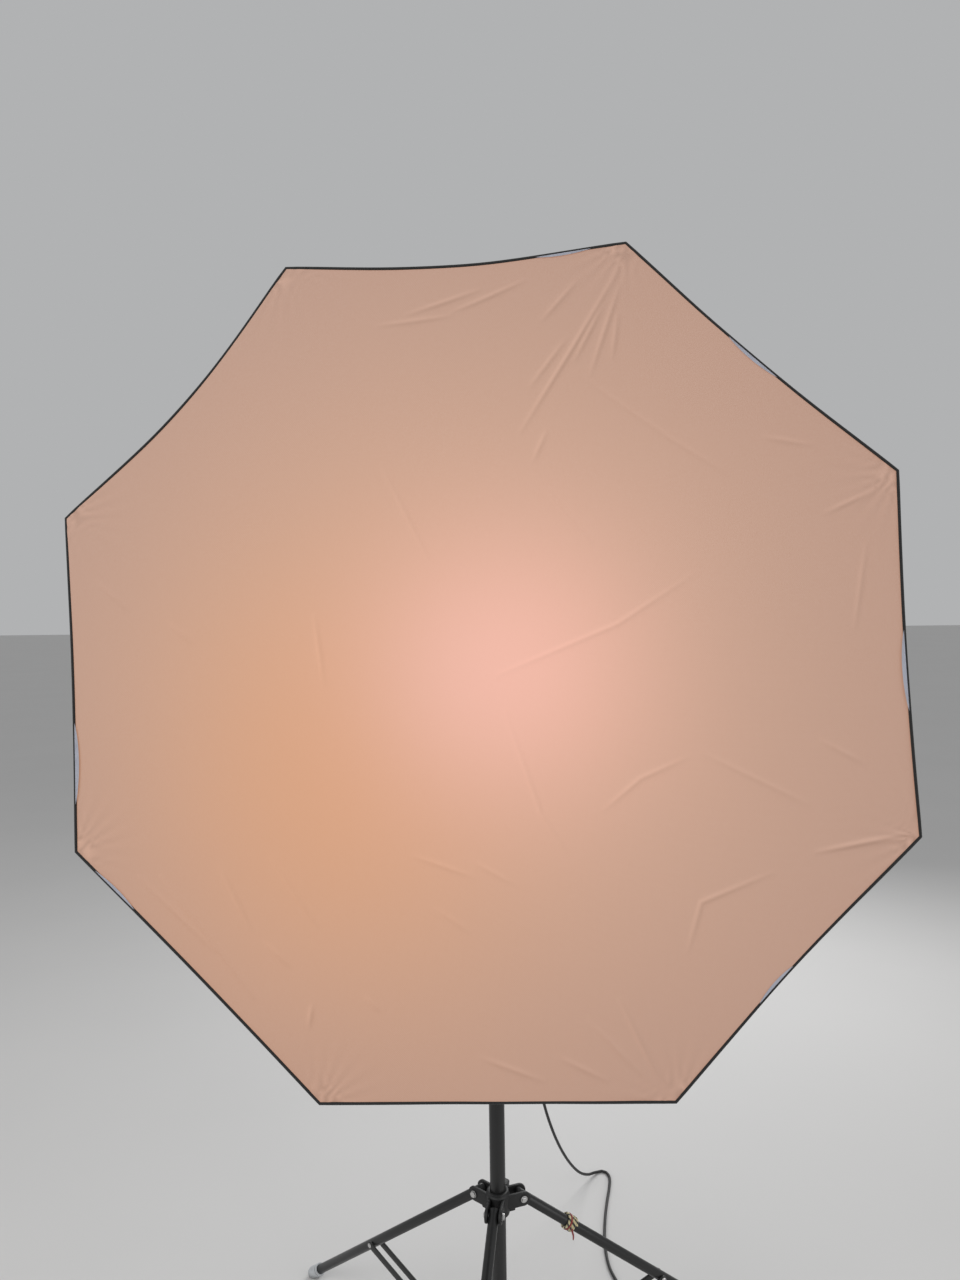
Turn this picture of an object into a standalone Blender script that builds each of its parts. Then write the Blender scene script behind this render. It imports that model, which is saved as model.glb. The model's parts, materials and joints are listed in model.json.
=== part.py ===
"""An eight-sided studio softbox on a warm lamp head, standing on a three-section folding light stand.

Run with:  blender --background --python part.py

Units are metres and +Z is up.  The softbox faces -Y.  The stand is drawn with its column on the line
x = y = 0 and is then moved along Y, so that the origin lies on the floor under the middle of the object.
"""
from math import asin, atan2, cos, hypot, pi, radians, sin, sqrt

import bmesh
import bpy
from mathutils import Matrix, Vector, geometry

# ------------------------------------------------------------------ clearances
gap = 0.0003                    # between pieces that touch
play = 0.0008                   # between pieces that fold past each other

# ------------------------------------------------------------------ sides of the round pieces
tube_sides = 20
casing_sides = 24
pin_sides = 12

# ------------------------------------------------------------------ the folding stand
leg_length = 0.612              # leg pivot to the middle of the foot
leg_angle = radians(51.4)       # open leg, from the vertical
folded_leg_angle = radians(2.5)
leg_radius = 0.00925
leg_wall = 0.0012
leg_end = 0.010                 # tube past the pivot
leg_headings = {"front": radians(-95.8), "left": radians(144.2), "right": radians(24.2)}
knob_heading = radians(84.2)    # stand knobs, behind the column
pivot_radius = 0.045            # column axis to the hinge pins
foot_radius = 0.013
foot_reach = 0.015              # rubber past the foot's middle
foot_grip = 0.036               # rubber along the leg
foot_height = 0.0122            # middle of the foot above the floor
brace_place = 0.368             # brace rivet, along the leg from its pivot
brace_width = 0.014
brace_thickness = 0.0025
rivet_radius = 0.0025
pin_radius = 0.003
cheek_thickness = 0.005
lug_radius = 0.013
hub_bore_play = 0.0003
hub_wall = 0.007
hub_boss = (0.009, 0.010)       # radius, and reach past the hub's wall
hub_top = 0.020                 # above the leg pivots
hub_bottom = 0.024              # below the leg pivots
collar_height = 0.050           # brace pivots above the floor
collar_half = 0.014
collar_wall = 0.006
ear_radius = 0.008
end_plug_length = 0.014

# ------------------------------------------------------------------ the column
lower_tube_radius = 0.014
tube_wall = 0.0012
middle_tube_radius = lower_tube_radius - tube_wall - gap
upper_tube_radius = middle_tube_radius - tube_wall - gap
lower_tube_bottom = 0.045
hub_to_clamp = 0.038            # folded hub to the lower clamp
middle_tube_length = 0.720
middle_tube_top = 1.075
upper_tube_length = 0.676
clamp_wall = 0.009
clamp_grip = 0.030              # below the end of the outer tube
clamp_neck = 0.020              # above it
clamp_boss = (0.008, 0.008)     # radius, and reach past the clamp's skin
clamp_chamfer = 0.002
boss_root = 0.004               # how far a boss starts inside the wall it stands on
hole_runout = 0.010             # a knob's hole past its boss
knob_radius = 0.015
knob_thickness = 0.017
tilt_knob_radius = 0.017
knob_lobes = 6
lobe_depth = 0.07               # share of the knob's radius
shank_radius = 0.003
shank_clearance = 0.0004

# ------------------------------------------------------------------ the head
tilt_height = 1.266             # tilt pivot above the floor
tilt_rest = radians(-6.0)       # the face leans back
stud_radius = 0.008
stud_length = 0.038
stud_flange = 0.006
stud_groove = (0.010, 0.0015)   # width and depth, where the socket's knob bears
stud_plug = 0.030               # stud inside the tube
socket_wall = 0.009
socket_roof = 0.006
socket_ear = 0.016              # thickness of the ear on the socket
ear_head = 0.012                # its radius about the tilt pivot
cheek_head = 0.013
tilt_cheek = 0.0045
tilt_nut = (0.0065, 0.004)      # radius and thickness
tilt_neck = (0.0075, 0.004)     # radius of the handle's neck, and its reach past the saddle
saddle = (0.056, 0.080, 0.008)  # the plate under the lamp
saddle_shift = 0.005
axis_height = 0.085             # optical axis above the tilt pivot
housing_radius = 0.058
housing_wall = 0.0025
housing_back = -0.185
housing_front = 0.060
cover_depth = 0.030
cover_wall = 0.003
cover_bevel = 0.004
mount_thickness = 0.0147
mount_radius = 0.072
mount_bore = 0.040
holder_radius = 0.020
holder_deck = 0.004
holder_front = 0.045
holder_cup = 0.015              # depth of the cup that the bulb stands in
holder_back = -0.010
bulb_radius = 0.030
bulb_neck = 0.0135
bulb_front = 0.150
bulb_glass = 0.0014
dial_radius = 0.011
dial_length = 0.014
dial_spindle = 0.003
dial_place = (0.022, 0.004)
switch_place = (-0.022, 0.004)
release_size = (0.010, 0.012, 0.008)
rocker = (0.009, 0.018, 0.009)  # width, height, depth
rocker_tilt = radians(8.0)
rocker_play = 0.0010
relief_radius = 0.006
relief_length = 0.040
relief_flange = 0.0018          # lip inside the cover, past the relief's radius
relief_inset = 0.0135           # cover's front edge to the relief

# ------------------------------------------------------------------ the softbox
sides = 8
corner_turn = pi / sides        # flats at the top, bottom and sides
softbox_roll = radians(2.0)     # how far it hangs out of level
rim_radius = 0.600              # corner of the front rim
face_depth = 0.438              # tilt pivot's plane to the front rim
rim_tube = 0.003
shell_thickness = 0.0015
shell_clearance = 0.0035        # rod's middle to the shell's lining
ring_radius = 0.080             # speedring
ring_bore = 0.060
ring_depth = 0.0247
rod_radius = 0.002
rod_root = 0.0705               # rod's inner end, inside the speedring
rod_swell = (0.420, 0.170)      # radius and depth of the point that bends the rods
diffuser_thickness = 0.0015
diffuser_inset = 0.002
baffle_radius = 0.360
baffle_thickness = 0.0010
baffle_place = 0.58             # along the rods
baffle_tab = 0.020
baffle_clearance = 0.0035      # tab end to the middle of the rod, past the rod's radius

# ------------------------------------------------------------------ the mains lead and the leg's tie
lead_radius = 0.0033
coil_centre = (0.215, 0.205)
coil_turn_radius = 0.0363       # middle of the turns
coil_width = 0.0198             # three turns side by side
coil_height = 0.0132            # two layers
plug_length = 0.050
plug_width = 0.030
plug_thickness = 0.022
tie_place = 0.121               # along the right leg
tie_length = 0.026
tie_thickness = 0.0048

# The lead's own points, from the lamp down to the floor and along it.
lead_route = [
    (0.000, 0.1973, 1.2318),
    (0.001, 0.1945, 1.200),
    (0.003, 0.1985, 1.145),
    (0.007, 0.214, 1.060),
    (0.014, 0.242, 0.940),
    (0.024, 0.278, 0.800),
    (0.036, 0.319, 0.660),
    (0.049, 0.361, 0.530),
    (0.062, 0.403, 0.415),
    (0.077, 0.445, 0.318),
    (0.094, 0.489, 0.237),
    (0.113, 0.535, 0.166),
    (0.134, 0.583, 0.104),
    (0.156, 0.632, 0.053),
    (0.178, 0.679, 0.019),
    (0.199, 0.712, 0.0050),
    (0.219, 0.719, 0.0036),
    (0.231, 0.697, 0.0036),
    (0.229, 0.655, 0.0036),
    (0.221, 0.600, 0.0036),
    (0.213, 0.530, 0.0036),
    (0.209, 0.450, 0.0036),
    (0.215, 0.375, 0.0036),
    (0.232, 0.320, 0.0036),
    (0.249, 0.268, 0.0036),
    (0.257, 0.232, 0.0036),
]

# ------------------------------------------------------------------ sizes that follow from these
leg_pivot_height = foot_height + leg_length * cos(leg_angle)
brace_out = brace_place * sin(leg_angle)
brace_rise = leg_pivot_height - brace_place * cos(leg_angle) - collar_height
brace_length = hypot(brace_out, brace_rise)
brace_angle = atan2(brace_out, brace_rise)
folded_brace_angle = asin(brace_place * sin(folded_leg_angle) / brace_length)
folded_pivot_height = (
    collar_height
    + brace_length * cos(folded_brace_angle)
    + brace_place * cos(folded_leg_angle)
)
lower_tube_top = folded_pivot_height + hub_top + hub_to_clamp + clamp_grip
clevis_half = leg_radius + play
socket_top = tilt_height - ear_head - 0.0015
stud_top = socket_top - socket_roof - gap
upper_tube_top = stud_top - stud_length - stud_flange - gap
shaft_hole = shank_radius + shank_clearance
cheek_inner = socket_ear / 2 + gap * 2
cheek_outer = cheek_inner + tilt_cheek


# ------------------------------------------------------------------ scene and materials
def clear_scene():
    for item in list(bpy.data.objects):
        bpy.data.objects.remove(item, do_unlink=True)


def new_collection(name):
    made = bpy.data.collections.new(name)
    bpy.context.scene.collection.children.link(made)
    return made


def new_material(name, colour, roughness, metallic=0.0):
    made = bpy.data.materials.new(name)
    made.use_nodes = True
    shader = made.node_tree.nodes["Principled BSDF"]
    shader.inputs["Base Color"].default_value = (*colour, 1.0)
    shader.inputs["Roughness"].default_value = roughness
    shader.inputs["Metallic"].default_value = metallic
    return made


clear_scene()
PARTS = new_collection("studio_softbox")
TOOLS = new_collection("cutters")
MATERIALS = {
    "black_paint": new_material("black_paint", (0.02, 0.02, 0.022), 0.35, 0.3),
    "black_plastic": new_material("black_plastic", (0.018, 0.018, 0.02), 0.5),
    "bright_steel": new_material("bright_steel", (0.72, 0.73, 0.75), 0.25, 1.0),
    "grey_alloy": new_material("grey_alloy", (0.45, 0.46, 0.48), 0.4, 1.0),
    "foot_rubber": new_material("foot_rubber", (0.72, 0.74, 0.76), 0.7),
    "black_fabric": new_material("black_fabric", (0.015, 0.015, 0.018), 0.85),
    "white_fabric": new_material("white_fabric", (0.85, 0.83, 0.80), 0.8),
    "bulb_glass": new_material("bulb_glass", (0.95, 0.93, 0.88), 0.2),
    "white_ceramic": new_material("white_ceramic", (0.85, 0.84, 0.80), 0.3),
    "lead_rubber": new_material("lead_rubber", (0.02, 0.02, 0.022), 0.6),
    "tie_cord": new_material("tie_cord", (0.62, 0.55, 0.30), 0.8),
}


def empty(name, parent=None, place=(0, 0, 0), turn=(0, 0, 0)):
    made = bpy.data.objects.new(name, None)
    PARTS.objects.link(made)
    made.parent = parent
    made.location = place
    made.rotation_euler = turn
    return made


def place_object(made, parent=None, place=(0, 0, 0), turn=(0, 0, 0)):
    made.parent = parent
    made.location = place
    made.rotation_euler = turn
    return made


def add(name, data, material, collection=None):
    made = bpy.data.objects.new(name, data)
    (collection or PARTS).objects.link(made)
    if material and not data.materials:
        data.materials.append(MATERIALS[material])
    return made


def as_tool(made):
    """Keep a solid out of the model: it only cuts or joins another."""
    made.hide_render = True
    made.display_type = "WIRE"
    for home in list(made.users_collection):
        home.objects.unlink(made)
    TOOLS.objects.link(made)
    return made


# ------------------------------------------------------------------ solids
def ring_points(inner, outer, bottom, top):
    """A tube wall's profile, down its outer side and up its inner one."""
    return [(outer, top), (outer, bottom), (inner, bottom), (inner, top)]


def turned(name, profile, material, steps=tube_sides):
    """A solid of revolution about Z.  The profile, (radius, height), is closed unless its ends are on the axis."""
    mesh = bpy.data.meshes.new(name)
    shape = bmesh.new()
    points = [shape.verts.new((r, 0, z)) for r, z in profile]
    for one, other in zip(points, points[1:]):
        shape.edges.new((one, other))
    if profile[0][0] > 0 or profile[-1][0] > 0:
        shape.edges.new((points[-1], points[0]))
    shape.to_mesh(mesh)
    shape.free()
    made = add(name, mesh, material)
    screw = made.modifiers.new("turn", "SCREW")
    screw.steps = steps
    screw.render_steps = steps
    screw.use_merge_vertices = True
    screw.merge_threshold = 1e-5
    screw.use_smooth_shade = steps > sides
    return made


def block(name, size, material, middle=(0, 0, 0), round_edge=0.0):
    mesh = bpy.data.meshes.new(name)
    shape = bmesh.new()
    bmesh.ops.create_cube(shape, size=1.0)
    bmesh.ops.scale(shape, vec=size, verts=shape.verts)
    bmesh.ops.translate(shape, vec=middle, verts=shape.verts)
    shape.to_mesh(mesh)
    shape.free()
    made = add(name, mesh, material)
    if round_edge:
        bevel = made.modifiers.new("rounded", "BEVEL")
        bevel.width = round_edge
        bevel.segments = 2
    return made


def rod_between(name, start, end, radius, material, segments=16):
    """A round bar from one point to another."""
    start, end = Vector(start), Vector(end)
    mesh = bpy.data.meshes.new(name)
    shape = bmesh.new()
    bmesh.ops.create_cone(
        shape,
        cap_ends=True,
        segments=segments,
        radius1=radius,
        radius2=radius,
        depth=(end - start).length,
    )
    shape.to_mesh(mesh)
    shape.free()
    made = add(name, mesh, material)
    made.location = (start + end) / 2
    made.rotation_mode = "QUATERNION"
    made.rotation_quaternion = (end - start).to_track_quat("Z", "Y")
    return made


def arc(middle, radius, first, last, steps):
    """Points along an arc, angles in radians."""
    return [
        (
            middle[0] + radius * cos(first + (last - first) * k / steps),
            middle[1] + radius * sin(first + (last - first) * k / steps),
        )
        for k in range(steps + 1)
    ]


def plate(name, outline, thickness, material, holes=()):
    """A flat piece in its own XY plane, cut through by round holes (x, y, radius), made a plain mesh."""
    curve = bpy.data.curves.new(name, "CURVE")
    curve.dimensions = "2D"
    curve.fill_mode = "BOTH"
    curve.extrude = thickness / 2
    rounds = [arc((x, y), r, 0, 2 * pi * 15 / 16, 15) for x, y, r in holes]
    for points in [list(outline)] + rounds:
        line = curve.splines.new("POLY")
        line.points.add(len(points) - 1)
        for point, (x, y) in zip(line.points, points):
            point.co = (x, y, 0, 1)
        line.use_cyclic_u = True
    return meshed(add(name, curve, material))


def meshed(made):
    """Turn a curve object into a mesh object with welded caps."""
    bpy.context.view_layer.update()
    found = made.evaluated_get(bpy.context.evaluated_depsgraph_get())
    mesh = bpy.data.meshes.new_from_object(found)
    shape = bmesh.new()
    shape.from_mesh(mesh)
    bmesh.ops.remove_doubles(shape, verts=shape.verts, dist=1e-6)
    bmesh.ops.recalc_face_normals(shape, faces=shape.faces)
    shape.to_mesh(mesh)
    shape.free()
    name = made.name
    matrix = made.matrix_world.copy()
    home = made.users_collection[0]
    bpy.data.objects.remove(made, do_unlink=True)
    solid = bpy.data.objects.new(name, mesh)
    home.objects.link(solid)
    solid.matrix_world = matrix
    return solid


def wire(name, points, radius, material, resolution=2):
    curve = bpy.data.curves.new(name, "CURVE")
    curve.dimensions = "3D"
    curve.bevel_depth = radius
    curve.bevel_resolution = resolution
    curve.use_fill_caps = True
    line = curve.splines.new("POLY")
    line.points.add(len(points) - 1)
    for point, place in zip(line.points, points):
        point.co = (*place, 1)
    return add(name, curve, material)


def boolean(made, tool, operation):
    change = made.modifiers.new(tool.name, "BOOLEAN")
    change.operation = operation
    change.object = tool
    if not tool.hide_render:
        as_tool(tool)
    return made


def cut(made, tool):
    return boolean(made, tool, "DIFFERENCE")


def join(made, tool):
    return boolean(made, tool, "UNION")


# ------------------------------------------------------------------ the frame the pieces hang in
STAND = empty("stand_axis")
TILT = empty("tilt_axis", STAND, (0, 0, tilt_height), (tilt_rest, 0, 0))
OPTIC = empty("optical_axis", TILT, (0, 0, axis_height), (pi / 2, 0, 0))
SOFTBOX = empty("softbox_axis", OPTIC, (0, 0, 0), (0, 0, softbox_roll))


def in_leg_plane(heading, out, across, up):
    """A point by its distance from the column, sideways offset and height, for a leg's heading."""
    return Vector((
        out * cos(heading) - across * sin(heading),
        out * sin(heading) + across * cos(heading),
        up,
    ))


def stood_plate(made, heading, out, across, up, lean=0.0):
    """Stand a flat piece in a leg's plane: its own X runs outwards and its own Y upwards, leaned by lean."""
    upright = Matrix.Rotation(heading, 4, "Z") @ Matrix.Rotation(pi / 2, 4, "X")
    leaned = upright @ Matrix.Rotation(lean, 4, "Z")
    made.parent = STAND
    made.matrix_parent_inverse = Matrix.Identity(4)
    made.matrix_basis = Matrix.Translation(in_leg_plane(heading, out, across, up)) @ leaned
    return made


def hub_lug_outline():
    """Side view of a hub lug, from the middle of the hub's wall out round the pivot."""
    wall_middle = lower_tube_radius + hub_bore_play + hub_wall / 2
    lug_middle = clevis_half + cheek_thickness / 2
    root = sqrt(wall_middle**2 - lug_middle**2)
    round_end = arc((pivot_radius, 0), lug_radius, -pi / 2, pi / 2, 8)
    return [(root, -lug_radius)] + round_end + [(root, lug_radius)]


def collar_ear_outline():
    root = lower_tube_radius + gap + collar_wall / 2
    round_end = arc((pivot_radius, 0), ear_radius, -pi / 2, pi / 2, 8)
    return [(root, -ear_radius)] + round_end + [(root, ear_radius)]


def lobed_outline(radius):
    """A hand knob seen from its end."""
    steps = knob_lobes * 8
    outline = []
    for k in range(steps):
        turn = 2 * pi * k / steps
        reach = radius * (1 - lobe_depth + lobe_depth * cos(knob_lobes * turn))
        outline.append((reach * cos(turn), reach * sin(turn)))
    return outline


def stand_knob(name, parent, seat_radius, tip_radius, heading, height):
    """A lobed hand knob whose shank runs from tip_radius, and whose head stands on seat_radius."""
    start = seat_radius + gap
    head = plate(name, lobed_outline(knob_radius), knob_thickness, "black_plastic")
    seat = Matrix.Rotation(heading, 4, "Z") @ Matrix.Rotation(pi / 2, 4, "Y")
    along = Vector((cos(heading), sin(heading), 0))
    middle = along * (start + knob_thickness / 2) + Vector((0, 0, height))
    head.parent = parent
    head.matrix_basis = Matrix.Translation(middle) @ seat
    shank = rod_between(
        name + "_shank",
        along * tip_radius + Vector((0, 0, height)),
        along * (start + knob_thickness / 2) + Vector((0, 0, height)),
        shank_radius,
        "bright_steel",
    )
    shank.parent = parent
    join(head, shank)
    return head


def knob_hole(name, parent, inner, outer, heading, height):
    along = Vector((cos(heading), sin(heading), 0))
    level = Vector((0, 0, height))
    tool = rod_between(name, along * inner + level, along * outer + level, shaft_hole, None)
    tool.parent = parent
    return as_tool(tool)


# ------------------------------------------------------------------ stand
def make_hub():
    bore = lower_tube_radius + hub_bore_play
    outer = bore + hub_wall
    bottom = leg_pivot_height - hub_bottom
    top = leg_pivot_height + hub_top
    hub = turned("leg_hub", ring_points(bore, outer, bottom, top), "black_plastic", casing_sides)
    hub.parent = STAND
    for side, heading in leg_headings.items():
        for hand in (-1, 1):
            across = hand * (clevis_half + cheek_thickness / 2)
            lug = plate(
                f"lug_{side}_{hand}",
                hub_lug_outline(),
                cheek_thickness,
                None,
                [(pivot_radius, 0, pin_radius + gap)],
            )
            join(hub, stood_plate(lug, heading, 0, across, leg_pivot_height))
    boss_radius, boss_reach = hub_boss
    boss_end = outer + boss_reach
    along = Vector((cos(knob_heading), sin(knob_heading), 0))
    level = Vector((0, 0, leg_pivot_height))
    boss_start = along * (outer - boss_root) + level
    boss = rod_between("hub_boss", boss_start, along * boss_end + level, boss_radius, None)
    boss.parent = STAND
    join(hub, boss)
    hole_end = boss_end + hole_runout
    cut(hub, knob_hole("hub_boss_hole", STAND, bore - shank_radius, hole_end, knob_heading, leg_pivot_height))
    stand_knob("hub_knob", STAND, boss_end, lower_tube_radius + gap, knob_heading, leg_pivot_height)
    return hub


def make_lower_collar():
    bore = lower_tube_radius + gap
    collar = turned(
        "lower_collar",
        ring_points(bore, bore + collar_wall, collar_height - collar_half, collar_height + collar_half),
        "black_plastic",
        casing_sides,
    )
    collar.parent = STAND
    for side, heading in leg_headings.items():
        ear = plate(f"collar_ear_{side}", collar_ear_outline(), 2 * leg_radius, None)
        join(collar, stood_plate(ear, heading, 0, 0, collar_height))
    return collar


def make_column():
    lower = turned(
        "lower_tube",
        ring_points(lower_tube_radius - tube_wall, lower_tube_radius, lower_tube_bottom, lower_tube_top),
        "black_paint",
    )
    lower.parent = STAND
    inner = lower_tube_radius - tube_wall - gap
    plug = turned(
        "tube_end_plug",
        [
            (0, lower_tube_bottom + end_plug_length),
            (inner, lower_tube_bottom + end_plug_length),
            (inner, lower_tube_bottom - gap),
            (lower_tube_radius, lower_tube_bottom - gap),
            (lower_tube_radius - 0.001, lower_tube_bottom - 0.004),
            (0, lower_tube_bottom - 0.004),
        ],
        "black_plastic",
    )
    plug.parent = STAND
    middle = turned(
        "middle_tube",
        ring_points(
            middle_tube_radius - tube_wall,
            middle_tube_radius,
            middle_tube_top - middle_tube_length,
            middle_tube_top,
        ),
        "black_paint",
    )
    middle.parent = STAND
    upper = turned(
        "upper_tube",
        ring_points(
            upper_tube_radius - tube_wall,
            upper_tube_radius,
            upper_tube_top - upper_tube_length,
            upper_tube_top,
        ),
        "black_paint",
    )
    upper.parent = STAND
    make_clamp("lower_clamp", lower_tube_top, lower_tube_radius, middle_tube_radius)
    make_clamp("upper_clamp", middle_tube_top, middle_tube_radius, upper_tube_radius)


def make_clamp(name, tube_end, outer_tube, inner_tube):
    """A stepped collar on the end of the outer tube, with a knob that bears on the inner one."""
    low = tube_end - clamp_grip
    high = tube_end + clamp_neck
    skin = outer_tube + gap + clamp_wall
    knob_level = tube_end + clamp_neck / 2
    clamp = turned(
        name,
        [
            (skin - clamp_chamfer, high),
            (skin, high - clamp_chamfer),
            (skin, low + clamp_chamfer),
            (skin - clamp_chamfer, low),
            (outer_tube + gap, low),
            (outer_tube + gap, tube_end + gap),
            (inner_tube + gap, tube_end + gap),
            (inner_tube + gap, high),
        ],
        "black_plastic",
        casing_sides,
    )
    clamp.parent = STAND
    along = Vector((cos(knob_heading), sin(knob_heading), 0))
    level = Vector((0, 0, knob_level))
    boss_radius, boss_reach = clamp_boss
    boss_end = skin + boss_reach
    boss_start = along * (skin - boss_root) + level
    boss = rod_between(name + "_boss", boss_start, along * boss_end + level, boss_radius, None)
    boss.parent = STAND
    join(clamp, boss)
    hole_start = inner_tube - shank_radius
    cut(clamp, knob_hole(name + "_hole", STAND, hole_start, boss_end + hole_runout, knob_heading, knob_level))
    stand_knob(name + "_knob", STAND, boss_end, inner_tube + gap, knob_heading, knob_level)
    return clamp


def leg_point(along, across=0.0, heading=0.0):
    return in_leg_plane(
        heading,
        pivot_radius + along * sin(leg_angle),
        across,
        leg_pivot_height - along * cos(leg_angle),
    )


def on_leg(made, heading, along):
    """Set a turned piece on a leg, its own Z running down the leg."""
    down = Matrix.Rotation(heading, 4, "Z") @ Matrix.Rotation(pi - leg_angle, 4, "Y")
    made.parent = STAND
    made.matrix_basis = Matrix.Translation(leg_point(along, 0, heading)) @ down
    return made


def make_leg(side, heading):
    foot_start = leg_length - foot_grip + foot_reach
    tube = turned(
        f"leg_{side}",
        ring_points(leg_radius - leg_wall, leg_radius, -leg_end, leg_length),
        "black_paint",
    )
    on_leg(tube, heading, 0)
    reach = clevis_half + cheek_thickness
    for place, radius, label in ((0, pin_radius, "bolt"), (brace_place, rivet_radius, "rivet")):
        tool = rod_between(
            f"{label}_hole_{side}",
            leg_point(place, -reach, heading),
            leg_point(place, reach, heading),
            radius + gap,
            None,
        )
        tool.parent = STAND
        cut(tube, tool)

    foot = turned(
        f"foot_{side}",
        [
            (0, leg_length + foot_reach),
            (foot_radius - 0.002, leg_length + foot_reach),
            (foot_radius, leg_length + foot_reach - 0.002),
            (foot_radius, foot_start + 0.001),
            (foot_radius - 0.001, foot_start),
            (leg_radius + gap, foot_start),
            (leg_radius + gap, leg_length + gap),
            (0, leg_length + gap),
        ],
        "foot_rubber",
    )
    on_leg(foot, heading, 0)
    size = 0.2
    floor = block(f"floor_{side}", (size, size, size), None)
    floor.parent = STAND
    floor.location = leg_point(leg_length, 0, heading)
    floor.location.z = -size / 2
    cut(foot, floor)

    make_pin(
        f"leg_bolt_{side}",
        leg_point(0, 0, heading),
        heading,
        pin_radius,
        clevis_half + cheek_thickness,
        0.0062,
        0.0036,
    )
    make_pin(
        f"brace_rivet_{side}",
        leg_point(brace_place, 0, heading),
        heading,
        rivet_radius,
        clevis_half + brace_thickness,
        0.0048,
        0.0018,
    )
    for hand, label in ((1, "a"), (-1, "b")):
        half = brace_width / 2
        outline = arc((0, 0), half, -pi / 2, pi / 2, 8) + arc((-brace_length, 0), half, pi / 2, 3 * pi / 2, 8)
        bar = plate(
            f"brace_{side}_{label}",
            outline,
            brace_thickness,
            "black_paint",
            [(0, 0, rivet_radius + gap)],
        )
        out = pivot_radius + brace_out
        up = collar_height + brace_rise
        across = hand * (clevis_half + brace_thickness / 2)
        stood_plate(bar, heading, out, across, up, pi / 2 - brace_angle)


def make_pin(name, middle, heading, radius, half_span, head_radius, head_height):
    """A headed pin across a leg, with an equal head at each end."""
    seat = half_span + gap
    profile = [
        (0, seat + head_height),
        (head_radius * 0.8, seat + head_height),
        (head_radius, seat + head_height * 0.6),
        (head_radius, seat),
        (radius, seat),
        (radius, -seat),
        (head_radius, -seat),
        (head_radius, -seat - head_height * 0.6),
        (head_radius * 0.8, -seat - head_height),
        (0, -seat - head_height),
    ]
    pin = turned(name, profile, "bright_steel", pin_sides)
    pin.parent = STAND
    pin.matrix_basis = (
        Matrix.Translation(middle) @ Matrix.Rotation(heading, 4, "Z") @ Matrix.Rotation(pi / 2, 4, "X")
    )
    return pin


def make_leg_tie():
    """The cord that is wound round the right leg, as one sleeve."""
    sleeve = turned(
        "leg_tie",
        ring_points(leg_radius + gap, leg_radius + gap + tie_thickness, -tie_length / 2, tie_length / 2),
        "tie_cord",
    )
    return on_leg(sleeve, leg_headings["right"], tie_place)


# ------------------------------------------------------------------ head
def make_stud():
    groove_width, groove_depth = stud_groove
    groove_radius = stud_radius - groove_depth
    groove_top = knob_level_of_socket() + groove_width / 2
    groove_bottom = groove_top - groove_width
    chamfer = 0.0015
    seat = upper_tube_top + gap
    tube_inner = upper_tube_radius - tube_wall - gap
    stud = turned(
        "stud",
        [
            (0, stud_top),
            (stud_radius - chamfer, stud_top),
            (stud_radius, stud_top - chamfer),
            (stud_radius, groove_top),
            (groove_radius, groove_top),
            (groove_radius, groove_bottom),
            (stud_radius, groove_bottom),
            (stud_radius, seat + stud_flange),
            (upper_tube_radius + chamfer, seat + stud_flange),
            (upper_tube_radius + chamfer, seat),
            (tube_inner, seat),
            (tube_inner, seat - stud_plug),
            (0, seat - stud_plug),
        ],
        "bright_steel",
    )
    stud.parent = STAND


def knob_level_of_socket():
    return upper_tube_top + gap + stud_flange + stud_length * 0.55


def make_socket():
    """The swivel socket on the stud, with the ear that the lamp tilts on."""
    bore = stud_radius + gap
    skin = bore + socket_wall
    low = upper_tube_top + gap + stud_flange + gap
    level = knob_level_of_socket()
    socket = turned(
        "bracket_socket",
        [
            (0, socket_top),
            (skin - clamp_chamfer, socket_top),
            (skin, socket_top - clamp_chamfer),
            (skin, low),
            (bore, low),
            (bore, stud_top + gap),
            (0, stud_top + gap),
        ],
        "black_plastic",
        casing_sides,
    )
    socket.parent = STAND
    root = socket_top - tilt_height - 0.003
    outline = [(-ear_head, root)] + [(ear_head, root)] + arc((0, 0), ear_head, 0, pi, 12)
    ear = plate("socket_ear", outline, socket_ear, None)
    ear.parent = STAND
    ear.matrix_basis = (
        Matrix.Translation((0, 0, tilt_height)) @ Matrix.Rotation(pi / 2, 4, "Z") @ Matrix.Rotation(pi / 2, 4, "X")
    )
    join(socket, ear)
    hole = rod_between(
        "ear_hole", (-socket_ear, 0, tilt_height), (socket_ear, 0, tilt_height), pin_radius + shank_clearance, None
    )
    hole.parent = STAND
    cut(socket, hole)
    cut(socket, knob_hole("socket_knob_hole", STAND, stud_radius - shank_radius, skin + hole_runout, pi, level))
    stand_knob("socket_knob", STAND, skin, stud_radius - stud_groove[1] + gap, pi, level)


def make_tilt_bracket():
    top = axis_height - housing_radius - gap
    bracket = block(
        "tilt_bracket",
        saddle,
        "black_plastic",
        (0, saddle_shift, top - saddle[2] / 2),
        0.002,
    )
    bracket.parent = TILT
    rise = top - saddle[2] / 2
    outline = [(cheek_head, rise), (-cheek_head, rise)] + arc((0, 0), cheek_head, pi, 2 * pi, 12)
    for hand in (-1, 1):
        cheek = plate(f"tilt_cheek_{hand}", outline, tilt_cheek, None)
        cheek.parent = TILT
        cheek.matrix_basis = (
            Matrix.Translation((hand * (cheek_inner + tilt_cheek / 2), 0, 0))
            @ Matrix.Rotation(pi / 2, 4, "Z")
            @ Matrix.Rotation(pi / 2, 4, "X")
        )
        join(bracket, cheek)
    hole = rod_between(
        "cheek_hole", (-cheek_outer - 0.01, 0, 0), (cheek_outer + 0.01, 0, 0), pin_radius + shank_clearance, None
    )
    hole.parent = TILT
    cut(bracket, hole)


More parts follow.
